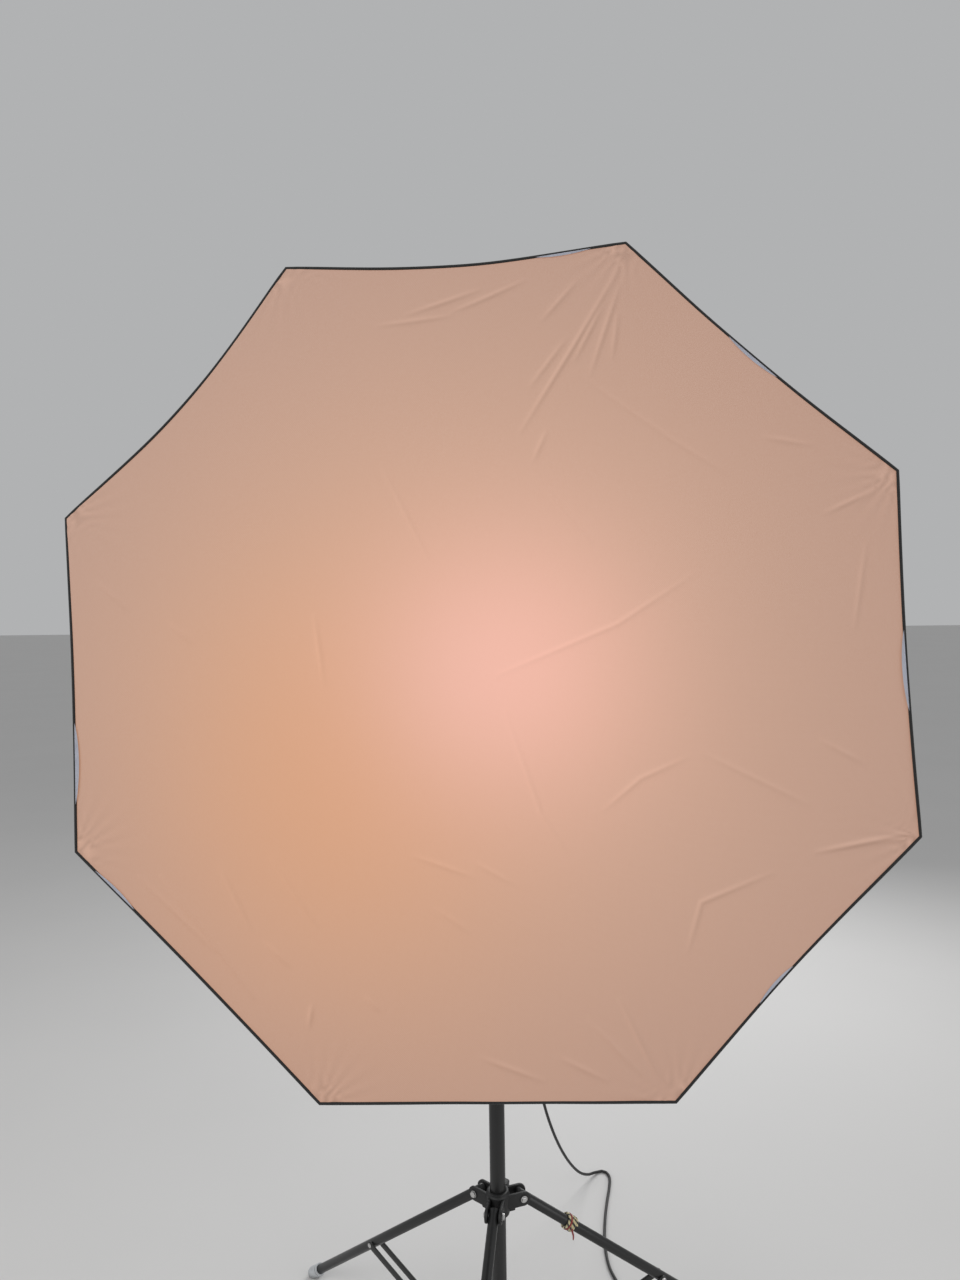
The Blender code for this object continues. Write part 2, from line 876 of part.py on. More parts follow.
def make_tilt_handle():
    """The bolt through the tilt joint, with its lobed knob at +X and its nut at -X."""
    seat = cheek_outer + gap
    neck_radius, neck_reach = tilt_neck
    nut_radius, nut_thickness = tilt_nut
    neck = saddle[0] / 2 + neck_reach
    profile = [
        (0, neck + neck_reach),
        (neck_radius, neck + neck_reach),
        (neck_radius, seat),
        (pin_radius, seat),
        (pin_radius, -seat),
        (nut_radius, -seat),
        (nut_radius, -seat - nut_thickness),
        (0, -seat - nut_thickness),
    ]
    bolt = turned("tilt_handle", profile, "black_plastic")
    bolt.parent = TILT
    bolt.rotation_euler = (0, pi / 2, 0)
    head = plate("tilt_handle_head", lobed_outline(tilt_knob_radius), knob_thickness, None)
    head.parent = TILT
    head.matrix_basis = Matrix.Translation((neck + knob_thickness / 2, 0, 0)) @ Matrix.Rotation(pi / 2, 4, "Y")
    join(bolt, head)


def make_lamp():
    housing = turned(
        "lamp_housing",
        ring_points(housing_radius - housing_wall, housing_radius, housing_back, housing_front),
        "black_paint",
        casing_sides,
    )
    housing.parent = OPTIC

    mount_back = housing_front + gap
    mount = turned(
        "mount_ring",
        [
            (mount_radius - 0.0015, mount_back + mount_thickness),
            (mount_radius, mount_back + mount_thickness - 0.0015),
            (mount_radius, mount_back),
            (mount_bore, mount_back),
            (mount_bore, mount_back + mount_thickness),
        ],
        "grey_alloy",
        casing_sides,
    )
    mount.parent = OPTIC
    make_release(mount, mount_back)

    cup_floor = holder_front - holder_cup
    deck_front = holder_back + holder_deck
    deck_radius = housing_radius - housing_wall - gap * 2
    holder = turned(
        "lamp_socket",
        [
            (0, cup_floor),
            (bulb_neck + 0.0015, cup_floor),
            (bulb_neck + 0.0015, holder_front),
            (holder_radius, holder_front),
            (holder_radius, deck_front),
            (deck_radius, deck_front),
            (deck_radius, holder_back),
            (0, holder_back),
        ],
        "white_ceramic",
        casing_sides,
    )
    holder.parent = OPTIC

    seat = cup_floor + gap
    swell = bulb_front - bulb_radius
    outer = (
        [(bulb_radius * cos(a), swell + bulb_radius * sin(a)) for a in (pi / 2, pi / 3, pi / 6, 0.0)]
        + [(bulb_radius * 0.80, swell - 0.024), (bulb_neck, holder_front + 0.004), (bulb_neck, seat)]
    )
    inner = [
        (bulb_neck - bulb_glass, seat),
        (bulb_neck - bulb_glass, holder_front + 0.004),
        (bulb_radius * 0.80 - bulb_glass, swell - 0.024),
    ] + [
        ((bulb_radius - bulb_glass) * cos(a), swell + (bulb_radius - bulb_glass) * sin(a))
        for a in (0.0, pi / 6, pi / 3, pi / 2)
    ]
    outer[0] = (0, bulb_front)
    inner[-1] = (0, bulb_front - bulb_glass)
    bulb = turned("bulb", outer + inner, "bulb_glass")
    bulb.parent = OPTIC
    make_rear_cover()


def make_release(mount, mount_back):
    """The button beside the mount that frees the softbox: it slides outwards in its own notch."""
    long, wide, deep = release_size
    level = mount_back + mount_thickness / 2
    button_middle = (mount_radius, 0, level)
    notch_middle = (mount_radius - 0.004, 0, level)
    notch = block("release_notch", (long + 0.012, wide + 4 * gap, deep + 4 * gap), None, notch_middle)
    notch.parent = OPTIC
    cut(mount, notch)
    button = block("release_button", release_size, "black_plastic", button_middle, 0.001)
    button.parent = OPTIC


def make_rear_cover():
    back = housing_back - gap - cover_depth
    front = housing_back - gap
    lip_radius = housing_radius - housing_wall - gap * 2
    cover = turned(
        "rear_cover",
        [
            (lip_radius, front + 0.006),
            (lip_radius, front),
            (housing_radius, front),
            (housing_radius, back + cover_bevel),
            (housing_radius - cover_bevel, back),
            (0, back),
            (0, back + cover_wall),
            (housing_radius - cover_bevel - cover_wall, back + cover_wall),
            (housing_radius - cover_wall, back + cover_bevel + cover_wall),
            (housing_radius - cover_wall, front - 0.004),
            (lip_radius - cover_wall, front - 0.004),
            (lip_radius - cover_wall, front + 0.006),
        ],
        "black_plastic",
        casing_sides,
    )
    cover.parent = OPTIC

    window = block(
        "switch_window",
        (rocker[0] + 2 * gap, rocker[1] + 2 * rocker_play, 4 * cover_wall),
        None,
        (switch_place[0], switch_place[1], back + cover_wall / 2),
    )
    window.parent = OPTIC
    cut(cover, window)
    switch = block("power_switch", rocker, "black_plastic", (0, 0, 0), 0.001)
    place_object(switch, OPTIC, (switch_place[0], switch_place[1], back + cover_wall / 2), (rocker_tilt, 0, 0))

    dial_hole = rod_between(
        "dial_hole",
        (dial_place[0], dial_place[1], back - 0.01),
        (dial_place[0], dial_place[1], back + 0.02),
        dial_spindle + shank_clearance,
        None,
    )
    dial_hole.parent = OPTIC
    cut(cover, dial_hole)
    dial = turned(
        "dimmer_knob",
        [
            (0, 0.008),
            (dial_spindle, 0.008),
            (dial_spindle, -gap * 2),
            (dial_radius, -gap * 2),
            (dial_radius - 0.001, -dial_length),
            (0, -dial_length),
        ],
        "black_plastic",
    )
    place_object(dial, OPTIC, (dial_place[0], dial_place[1], back))

    relief_level = front - relief_inset
    gland_hole = rod_between(
        "gland_hole",
        (0, -housing_radius + 0.012, relief_level),
        (0, -housing_radius - 0.01, relief_level),
        relief_radius + gap,
        None,
    )
    gland_hole.parent = OPTIC
    cut(cover, gland_hole)
    flange = relief_radius + relief_flange
    lining = (housing_radius - cover_wall) * cos(pi / casing_sides)
    inner_face = sqrt(lining**2 - flange**2) - gap
    relief = turned(
        "strain_relief",
        [
            (0, -inner_face + 0.003),
            (flange, -inner_face + 0.003),
            (flange, -inner_face),
            (relief_radius, -inner_face),
            (relief_radius, -housing_radius - 0.004),
            (lead_radius + 0.0008, -housing_radius - relief_length),
            (0, -housing_radius - relief_length),
        ],
        "lead_rubber",
        pin_sides,
    )
    place_object(relief, OPTIC, (0, 0, relief_level), (-pi / 2, 0, 0))


# ------------------------------------------------------------------ softbox
def rod_curve():
    """The rod's line, (radius, depth), from the speedring to the corner of the rim."""
    root = (ring_radius * 0.9, housing_front + 2 * gap + mount_thickness + ring_depth / 2)
    tip = (rim_radius - 0.0060, face_depth - 0.0045)
    return root, rod_swell, tip


def rod_point(share):
    root, swell, tip = rod_curve()
    rest = 1 - share
    return tuple(rest * rest * a + 2 * rest * share * b + share * share * c for a, b, c in zip(root, swell, tip))


def rod_normal(share):
    """Outward normal of the rod's line, away from the softbox's inside."""
    root, swell, tip = rod_curve()
    rest = 1 - share
    run = [2 * rest * (b - a) + 2 * share * (c - b) for a, b, c in zip(root, swell, tip)]
    size = hypot(*run)
    return run[1] / size, -run[0] / size


def offset_rod(share, distance):
    point = rod_point(share)
    normal = rod_normal(share)
    return point[0] + normal[0] * distance, point[1] + normal[1] * distance


def make_softbox():
    ring_back = housing_front + 2 * gap + mount_thickness
    ring_level = ring_back + ring_depth / 2
    ring = turned(
        "speedring",
        ring_points(ring_bore, ring_radius, ring_back, ring_back + ring_depth),
        "grey_alloy",
        casing_sides,
    )
    ring.parent = SOFTBOX
    stations = [0.0, 0.03, 0.10, 0.2, 0.3, 0.4, 0.5, 0.6, 0.7, 0.8, 0.9, 0.985]
    line = [rod_point(share) for share in stations]
    steep = rod_point(0.03)
    slope = (steep[1] - line[0][1]) / (steep[0] - line[0][0])
    for k in range(sides):
        turn = corner_turn + 2 * pi * k / sides
        root = (rod_root, line[0][1] + (rod_root - line[0][0]) * slope)
        points = [
            (r * cos(turn), r * sin(turn), z)
            for r, z in [root] + line[1:]
        ]
        rod = wire(f"rod_{k + 1}", points, rod_radius, "bright_steel", 1)
        rod.parent = SOFTBOX
        hole = rod_between(
            f"rod_hole_{k + 1}",
            ((rod_root - 0.001) * cos(turn), (rod_root - 0.001) * sin(turn), root[1] - 0.001 * slope),
            (ring_radius * 1.3 * cos(turn), ring_radius * 1.3 * sin(turn), line[0][1] + 0.032 * slope),
            rod_radius + 0.0007,
            None,
            12,
        )
        hole.parent = SOFTBOX
        cut(ring, hole)

    near = 0.035
    shares = [near] + stations[2:-1] + [1.0]
    outside = [offset_rod(share, shell_clearance + shell_thickness) for share in shares]
    inside = [offset_rod(share, shell_clearance) for share in shares]
    shell = turned("shell", outside[::-1] + inside, "black_fabric", sides)
    place_object(shell, SOFTBOX, (0, 0, 0), (0, 0, corner_turn))

    rim_middle = rim_radius - rim_tube
    rim_level = face_depth - rim_tube
    profile = [(rim_middle + rim_tube * cos(a), rim_level + rim_tube * sin(a))
               for a in (pi / 2, pi / 4, 0, -pi / 4, -pi / 2, -3 * pi / 4, pi, 3 * pi / 4)]
    rim = turned("rim_binding", profile, "black_fabric", sides)
    place_object(rim, SOFTBOX, (0, 0, 0), (0, 0, corner_turn))

    face_radius = rim_middle - (rim_tube + gap) / cos(pi / sides)
    corners = [
        (face_radius * cos(corner_turn + 2 * pi * k / sides), face_radius * sin(corner_turn + 2 * pi * k / sides))
        for k in range(sides)
    ]
    diffuser = plate("front_diffuser", corners, diffuser_thickness, "white_fabric")
    place_object(diffuser, SOFTBOX, (0, 0, face_depth - diffuser_inset - diffuser_thickness / 2))

    baffle_rod = rod_point(baffle_place)
    tab_reach = baffle_rod[0] - rod_radius - baffle_clearance
    outline = []
    for k in range(sides):
        turn = corner_turn + 2 * pi * k / sides
        for reach, across in (
            (baffle_radius, -baffle_tab / 2),
            (tab_reach, -baffle_tab / 2),
            (tab_reach, baffle_tab / 2),
            (baffle_radius, baffle_tab / 2),
        ):
            outline.append((reach * cos(turn) - across * sin(turn), reach * sin(turn) + across * cos(turn)))
    baffle = plate("inner_baffle", outline, baffle_thickness, "white_fabric")
    place_object(baffle, SOFTBOX, (0, 0, baffle_rod[1]))


# ------------------------------------------------------------------ mains lead
def smooth_route(points, spacing):
    """Even steps along a smooth curve through the points."""
    nodes = [Vector(p) for p in points]
    line = []
    for k in range(len(nodes) - 1):
        before = nodes[max(k - 1, 0)]
        after = nodes[min(k + 2, len(nodes) - 1)]
        first, last = nodes[k], nodes[k + 1]
        handle = (last - first).length / 3
        lead_out = first + (last - before).normalized() * handle
        lead_in = last - (after - first).normalized() * handle
        line += geometry.interpolate_bezier(first, lead_out, lead_in, last, 24)[:-1]
    line.append(nodes[-1])
    walked = [line[0]]
    travelled = 0.0
    for one, other in zip(line, line[1:]):
        travelled += (other - one).length
        if travelled >= spacing:
            walked.append(other)
            travelled = 0.0
    if (walked[-1] - line[-1]).length < spacing / 2:
        walked.pop()
    walked.append(line[-1])
    return walked


def make_lead():
    lead = wire("mains_lead", smooth_route(lead_route, 0.026), lead_radius, "lead_rubber")
    lead.parent = STAND
    base = 0.0002
    coil = turned(
        "lead_coil",
        ring_points(
            coil_turn_radius - coil_width / 2,
            coil_turn_radius + coil_width / 2,
            base,
            base + coil_height,
        ),
        "lead_rubber",
        casing_sides,
    )
    place_object(coil, STAND, (*coil_centre, 0))
    # the plug lies in line with the outer turn, where the lead leaves the coil
    outer_turn = coil_turn_radius + coil_width / 3
    inner_side = outer_turn - plug_width / 2
    past_coil = sqrt((coil_turn_radius + coil_width / 2) ** 2 - inner_side**2) + gap
    plug = block("mains_plug", (plug_length, plug_width, plug_thickness), "lead_rubber", (0, 0, 0), 0.004)
    place_object(
        plug,
        STAND,
        (
            coil_centre[0] - past_coil - plug_length / 2,
            coil_centre[1] - outer_turn,
            base + plug_thickness / 2,
        ),
    )


# ------------------------------------------------------------------ put it together
def centre_on_floor():
    """Move the stand so that the origin is under the middle of everything but the mains lead."""
    bpy.context.view_layer.update()
    graph = bpy.context.evaluated_depsgraph_get()
    reached = []
    for made in PARTS.objects:
        if made.type == "EMPTY" or made.name in ("mains_lead", "lead_coil", "mains_plug"):
            continue
        found = made.evaluated_get(graph)
        mesh = found.to_mesh()
        ys = [(found.matrix_world @ vertex.co).y for vertex in mesh.vertices]
        reached += [min(ys), max(ys)]
        found.to_mesh_clear()
    STAND.location.y = -(min(reached) + max(reached)) / 2


make_column()
make_hub()
make_lower_collar()
for leg_side, leg_heading in leg_headings.items():
    make_leg(leg_side, leg_heading)
make_leg_tie()
make_stud()
make_socket()
make_tilt_bracket()
make_tilt_handle()
make_lamp()
make_softbox()
make_lead()
centre_on_floor()
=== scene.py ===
import json
from math import atan2, cos, exp, hypot, pi, radians, sin

import bmesh
import bpy
from mathutils import Matrix, Vector, geometry, noise


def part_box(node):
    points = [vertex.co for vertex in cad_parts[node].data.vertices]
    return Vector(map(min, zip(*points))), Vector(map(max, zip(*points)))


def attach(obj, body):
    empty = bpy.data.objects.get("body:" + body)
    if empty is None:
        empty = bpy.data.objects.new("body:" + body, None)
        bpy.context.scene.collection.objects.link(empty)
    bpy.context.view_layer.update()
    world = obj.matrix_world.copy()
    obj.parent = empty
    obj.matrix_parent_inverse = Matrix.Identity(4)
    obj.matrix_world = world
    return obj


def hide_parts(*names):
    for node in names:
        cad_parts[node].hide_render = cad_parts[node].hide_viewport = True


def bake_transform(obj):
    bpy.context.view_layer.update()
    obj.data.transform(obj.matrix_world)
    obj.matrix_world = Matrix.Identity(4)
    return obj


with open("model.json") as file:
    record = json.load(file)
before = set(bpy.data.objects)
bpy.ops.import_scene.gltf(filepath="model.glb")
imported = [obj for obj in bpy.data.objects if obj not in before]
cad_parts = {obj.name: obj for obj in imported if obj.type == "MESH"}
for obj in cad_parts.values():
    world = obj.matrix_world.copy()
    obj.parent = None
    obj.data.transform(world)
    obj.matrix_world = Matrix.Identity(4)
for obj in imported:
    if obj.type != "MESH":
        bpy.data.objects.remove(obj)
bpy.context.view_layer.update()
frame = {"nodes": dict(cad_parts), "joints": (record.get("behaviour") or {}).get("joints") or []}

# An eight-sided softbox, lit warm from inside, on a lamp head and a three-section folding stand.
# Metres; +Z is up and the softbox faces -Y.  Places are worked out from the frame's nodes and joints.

joints = {joint["name"]: joint for joint in frame["joints"]}


# ------------------------------------------------------------------ places, from the frame
def axes(origin, x, y, z):
    made = Matrix((x, y, z)).transposed().to_4x4()
    made.translation = origin
    return made


def local_box(node, place):
    """Lowest and highest corner of a CAD node, measured along a place's own axes."""
    back = place.inverted()
    points = [back @ vertex.co for vertex in frame["nodes"][node].data.vertices]
    return Vector(map(min, *points)), Vector(map(max, *points))


def middle_of(node):
    low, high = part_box(node)
    return (low + high) / 2


column = Vector((*middle_of("lower_tube").xy, 0.0))
forward = Vector(joints["softbox_turn"]["axis"]).normalized()
sideways = Vector((1.0, 0.0, 0.0))
upward = forward.cross(sideways)
softbox_roll = radians(2.0)       # how far the softbox hangs out of level
TO_COLUMN = Matrix.Translation(column)
TO_TILT = axes(Vector(joints["head_tilt"]["pos_m"]), sideways, -forward, upward)
lamp_rise = 0.085                 # lamp's axis above the tilt pivot
TO_OPTIC = axes(TO_TILT @ Vector((0, 0, lamp_rise)), sideways, upward, forward)
TO_SOFTBOX = TO_OPTIC @ Matrix.Rotation(softbox_roll, 4, "Z")
legs = ("front", "left", "right")
sides = 8
corner_turn = pi / sides
gap = 0.0003                      # between pieces that touch


# ------------------------------------------------------------------ camera
def make_camera():
    place = Vector((0.126, -1.5672, 1.506))
    level_look = Vector((-0.0854, 0.9963, 0.0)).normalized()
    dip = radians(3.3)
    lean = radians(-0.85)
    look = level_look * cos(dip) - Vector((0, 0, sin(dip)))
    right = Vector((level_look.y, -level_look.x, 0.0))
    up = right.cross(look)
    leaned_right = right * cos(lean) + up * sin(lean)
    leaned_up = up * cos(lean) - right * sin(lean)
    data = bpy.data.cameras.new("camera")
    data.lens = 27.056
    data.clip_end = 50
    camera = bpy.data.objects.new("camera", data)
    bpy.context.scene.collection.objects.link(camera)
    camera.matrix_world = axes(place, leaned_right, leaned_up, -look)
    bpy.context.scene.camera = camera


make_camera()


# ------------------------------------------------------------------ finishes
class Value:
    """One node socket; arithmetic on it adds Math nodes."""

    def __init__(self, finish, socket):
        self.finish = finish
        self.socket = socket

    def math(self, operation, first, second=0.0):
        return self.finish.node("Math", {"operation": operation}, {0: first, 1: second})

    def __add__(self, other):
        return self.math("ADD", self, other)

    def __radd__(self, other):
        return self.math("ADD", other, self)

    def __sub__(self, other):
        return self.math("SUBTRACT", self, other)

    def __rsub__(self, other):
        return self.math("SUBTRACT", other, self)

    def __mul__(self, other):
        return self.math("MULTIPLY", self, other)

    def __rmul__(self, other):
        return self.math("MULTIPLY", other, self)

    def __truediv__(self, other):
        return self.math("DIVIDE", self, other)

    def __pow__(self, other):
        return self.math("POWER", self, other)

    def sine(self):
        return self.math("SINE", self)

    def size(self):
        return self.math("ABSOLUTE", self)

    def fraction(self):
        return self.math("FRACT", self)

    def exponential(self):
        return self.math("EXPONENT", self)

    def rise(self, low, high):
        """0 below low and 1 above high, smooth in between."""
        return self.finish.node(
            "MapRange", {"interpolation_type": "SMOOTHSTEP"}, {0: self, 1: low, 2: high, 3: 0.0, 4: 1.0}
        )

    def other(self, name):
        """Another output of the same node."""
        return Value(self.finish, self.socket.node.outputs[name])


class Finish:
    """A material on one Principled shader."""

    def __init__(self, name, **constants):
        self.material = bpy.data.materials.new(name)
        self.material.use_nodes = True
        self.tree = self.material.node_tree
        self.shader = self.tree.nodes["Principled BSDF"]
        for label, value in constants.items():
            self.shader.inputs[label.replace("_", " ")].default_value = value

    def node(self, kind, settings=None, sockets=None, output=0):
        made = self.tree.nodes.new("ShaderNode" + kind)
        for name, value in (settings or {}).items():
            setattr(made, name, value)
        for name, value in (sockets or {}).items():
            self.feed(made.inputs[name], value)
        return Value(self, made.outputs[output])

    def feed(self, socket, value):
        if isinstance(value, Value):
            self.tree.links.new(value.socket, socket)
        else:
            socket.default_value = value

    def set(self, label, value):
        self.feed(self.shader.inputs[label], value)
        return self

    def place(self):
        return self.node("TexCoord", output="Object")

    def weave(self):
        return self.node("UVMap", {"uv_map": "weave"})

    def mark(self, name):
        return self.node("Attribute", {"attribute_name": name}, output="Fac")

    def vector(self, operation, first, second=(0.0, 0.0, 0.0), output="Vector"):
        return self.node("VectorMath", {"operation": operation}, {0: first, 1: second}, output)

    def dot(self, first, second):
        return self.vector("DOT_PRODUCT", first, second, "Value")

    def scaled(self, colour, amount):
        return self.node("VectorMath", {"operation": "SCALE"}, {0: colour, "Scale": amount}, "Vector")

    def noise(self, where, scale, detail=2.0, roughness=0.5):
        return self.node(
            "TexNoise", {}, {"Vector": where, "Scale": scale, "Detail": detail, "Roughness": roughness}
        )

    def mix(self, share, first, second):
        settings = {"data_type": "RGBA"}
        return self.node("Mix", settings, {0: share, 6: first, 7: second}, 2)

    def bump(self, height, distance, strength=1.0):
        made = self.node("Bump", {}, {"Height": height, "Distance": distance, "Strength": strength})
        return self.set("Normal", made)

    def parts(self, vector):
        return self.node("SeparateXYZ", {}, {0: vector})


def grey(level, warmth=0.0):
    return (level * (1 + warmth), level, level * (1 - warmth), 1.0)


def satin_paint():
    made = Finish("satin_black_paint", IOR=1.5)
    where = made.place()
    cloud = made.noise(where, 9.0, 3.0)
    streaks = made.noise(made.vector("MULTIPLY", where, (90.0, 90.0, 14.0)), 1.0, 4.0, 0.6)
    scuffs = streaks.rise(0.66, 0.74)
    base = made.mix(cloud, grey(0.0075), grey(0.014))
    made.set("Base Color", made.mix(scuffs * 0.5, base, grey(0.05)))
    made.set("Roughness", 0.30 + cloud * 0.12 + scuffs * 0.18)
    return made.bump(made.noise(where, 900.0, 2.0), 0.00005)


def black_moulding():
    made = Finish("black_moulding", IOR=1.46)
    where = made.place()
    cloud = made.noise(where, 30.0, 3.0)
    grain = made.noise(where, 1500.0, 2.0, 0.6)
    rub = made.noise(where, 160.0, 4.0, 0.65).rise(0.60, 0.72)
    made.set("Base Color", made.mix(rub * 0.4, made.mix(cloud, grey(0.010), grey(0.018)), grey(0.035)))
    made.set("Roughness", 0.46 + grain * 0.14 - rub * 0.10)
    return made.bump(grain, 0.00010)


def plated_steel():
    made = Finish("plated_steel", Metallic=1.0)
    where = made.place()
    cloud = made.noise(where, 60.0, 3.0)
    brushed = made.noise(made.vector("MULTIPLY", where, (260.0, 260.0, 2400.0)), 1.0, 2.0)
    made.set("Base Color", made.mix(cloud, grey(0.52, 0.01), grey(0.68, 0.01)))
    made.set("Roughness", 0.16 + cloud * 0.14 + brushed * 0.08)
    return made.bump(brushed, 0.00002)


def turned_alloy():
    """Anodised alloy with fine turning lines about the optical axis."""
    made = Finish("turned_alloy", Metallic=1.0)
    where = made.place()
    offset = made.vector("SUBTRACT", where, tuple(TO_OPTIC.translation))
    along = made.scaled(tuple(forward), made.dot(offset, tuple(forward)))
    radius = made.vector("LENGTH", made.vector("SUBTRACT", offset, along), output="Value")
    lines = (radius * (2 * pi / 0.0007)).sine()
    cloud = made.noise(where, 40.0, 2.0)
    made.set("Base Color", made.mix(cloud, grey(0.30, -0.02), grey(0.40, -0.02)))
    made.set("Roughness", 0.30 + cloud * 0.14 + lines * 0.03)
    return made.bump(lines, 0.00002)


def pale_rubber():
    made = Finish("pale_rubber", IOR=1.45)
    where = made.place()
    height = made.parts(where).other("Z")
    dust = made.noise(where, 130.0, 4.0, 0.6)
    grime = (1 - height.rise(0.0, 0.016)) * (0.35 + dust * 0.5)
    smears = made.noise(where, 55.0, 3.0).rise(0.5, 0.75)
    clean = made.mix(smears, (0.50, 0.515, 0.53, 1), (0.38, 0.395, 0.41, 1))
    made.set("Base Color", made.mix(grime, clean, (0.12, 0.115, 0.11, 1)))
    made.set("Roughness", 0.60 + dust * 0.2)
    return made.bump(dust, 0.00010)


def ripstop():
    """Black coated nylon: a fine weave with a heavier thread every 5 mm both ways, and soft crumples."""
    made = Finish("black_ripstop", Sheen_Weight=0.25, Sheen_Roughness=0.5, IOR=1.45)
    spot = made.parts(made.weave())
    thread = 0.005
    across = ((spot / thread).fraction() - 0.5).size()
    down = ((spot.other("Y") / thread).fraction() - 0.5).size()
    grid = across.math("MAXIMUM", across, down).rise(0.42, 0.48)
    fine = (spot * (2 * pi / 0.0011)).sine() * (spot.other("Y") * (2 * pi / 0.0011)).sine()
    crumple = made.noise(made.place(), 17.0, 5.0, 0.55)
    made.set("Base Color", made.mix(crumple * 0.6 + grid * 0.3, grey(0.006), grey(0.016, -0.03)))
    made.set("Roughness", 0.52 + crumple * 0.16 - grid * 0.06)
    return made.bump(crumple * 6.0 + grid * 0.35 + fine * 0.12, 0.00035)


def silver_lining():
    made = Finish("silver_lining", Metallic=0.85)
    where = made.place()
    crumple = made.noise(where, 38.0, 5.0, 0.6)
    made.set("Base Color", made.mix(crumple, grey(0.48), grey(0.66)))
    made.set("Roughness", 0.30 + crumple * 0.2)
    return made.bump(crumple, 0.0012)


def webbing():
    """Ribbed binding tape, its ribs across the tape."""
    made = Finish("black_binding", Sheen_Weight=0.2, IOR=1.45)
    spot = made.parts(made.weave())
    ribs = (spot.other("Y") * (2 * pi / 0.0021)).sine()
    fluff = made.noise(made.place(), 420.0, 3.0)
    made.set("Base Color", made.mix(fluff, grey(0.004), grey(0.013)))
    made.set("Roughness", 0.7 + fluff * 0.15)
    return made.bump(ribs + fluff * 0.5, 0.00020)


def plain_thread():
    made = Finish("black_thread", Roughness=0.6)
    where = made.place()
    twist = made.noise(where, 2200.0, 2.0)
    made.set("Base Color", made.mix(twist, grey(0.02), grey(0.055)))
    return made.bump(twist, 0.0001)


def frosted_glass():
    made = Finish("frosted_glass", IOR=1.5, Coat_Weight=0.3, Emission_Strength=2.0)
    where = made.place()
    cloud = made.noise(where, 90.0, 2.0)
    made.set("Base Color", made.mix(cloud, (0.93, 0.90, 0.84, 1), (0.86, 0.82, 0.74, 1)))
    made.set("Emission Color", made.mix(cloud, (1.0, 0.74, 0.48, 1), (1.0, 0.66, 0.38, 1)))
    made.set("Roughness", 0.35 + cloud * 0.15)
    return made.bump(made.noise(where, 1200.0), 0.00003)


def glazed_ceramic():
    made = Finish("glazed_ceramic", Coat_Weight=0.5, IOR=1.5)
    where = made.place()
    specks = made.noise(where, 700.0, 2.0).rise(0.68, 0.74)
    made.set("Base Color", made.mix(specks * 0.5, grey(0.74, 0.02), grey(0.36, 0.05)))
    made.set("Roughness", 0.22 + made.noise(where, 80.0) * 0.12)
    return made.bump(made.noise(where, 110.0), 0.00015)


def flex_rubber():
    made = Finish("black_flex", IOR=1.5)
    where = made.place()
    cloud = made.noise(where, 24.0, 4.0, 0.6)
    dust = made.noise(where, 320.0, 4.0, 0.7).rise(0.58, 0.72)
    made.set("Base Color", made.mix(dust * 0.35, made.mix(cloud, grey(0.009), grey(0.016)), grey(0.05)))
    made.set("Roughness", 0.42 + cloud * 0.2 + dust * 0.12)
    return made.bump(made.noise(where, 1500.0), 0.00005)


def striped_cord():
    """Cream and dark braid: the stripes run round the cord on a slant."""
    made = Finish("striped_cord", Sheen_Weight=0.3)
    spot = made.parts(made.weave())
    stripe_length = 0.0085
    cord_round = 2 * pi * tie_cord_radius
    slant = (spot.other("Y") / stripe_length + spot / cord_round).fraction()
    braid = (spot.other("Y") * (2 * pi / 0.0016)).sine() * (spot * (2 * pi / 0.0019)).sine()
    stripe = ((slant - 0.5).size() + braid * 0.03).rise(0.18, 0.24)
    cream = made.mix(made.noise(made.place(), 700.0, 3.0), (0.62, 0.50, 0.20, 1), (0.80, 0.74, 0.52, 1))
    made.set("Base Color", made.mix(stripe, (0.02, 0.018, 0.016, 1), cream))
    made.set("Roughness", 0.72 + braid * 0.08)
    return made.bump(braid, 0.00030)


def red_cord():
    made = Finish("dark_red_cord", Sheen_Weight=0.3)
    spot = made.parts(made.weave())
    braid = (spot.other("Y") * (2 * pi / 0.0014)).sine() * (spot * (2 * pi / 0.0016)).sine()
    worn = made.noise(made.place(), 420.0, 3.0)
    made.set("Base Color", made.mix(worn, (0.20, 0.010, 0.012, 1), (0.42, 0.045, 0.035, 1)))
    made.set("Roughness", 0.7 + braid * 0.08)
    return made.bump(braid, 0.00025)


def pad_print():
    made = Finish("pale_marks", Roughness=0.5)
    where = made.place()
    made.set("Base Color", made.mix(made.noise(where, 900.0, 3.0), grey(0.55), grey(0.74)))
    return made


def hem_cloth():
    """The turned edge of the diffuser, which the lamp doesn't reach; its grey-blue colour is painted shade,
    tinted blue as painted room light.
    """
    made = Finish("unlit_hem_cloth", Sheen_Weight=0.2)
    spot = made.parts(made.weave())
    fine = (spot.other("Y") * (2 * pi / 0.0016)).sine() * (spot * (2 * pi / 0.0016)).sine()
    cloud = made.noise(made.place(), 60.0, 3.0)
    # painted shade: the grey-blue base colour stands in for the hem being unlit, with a painted bluish tint
    # of room light
    made.set("Base Color", made.mix(cloud, (0.30, 0.31, 0.37, 1), (0.46, 0.47, 0.53, 1)))
    made.set("Roughness", 0.8 + fine * 0.05)
    return made.bump(fine, 0.00010)


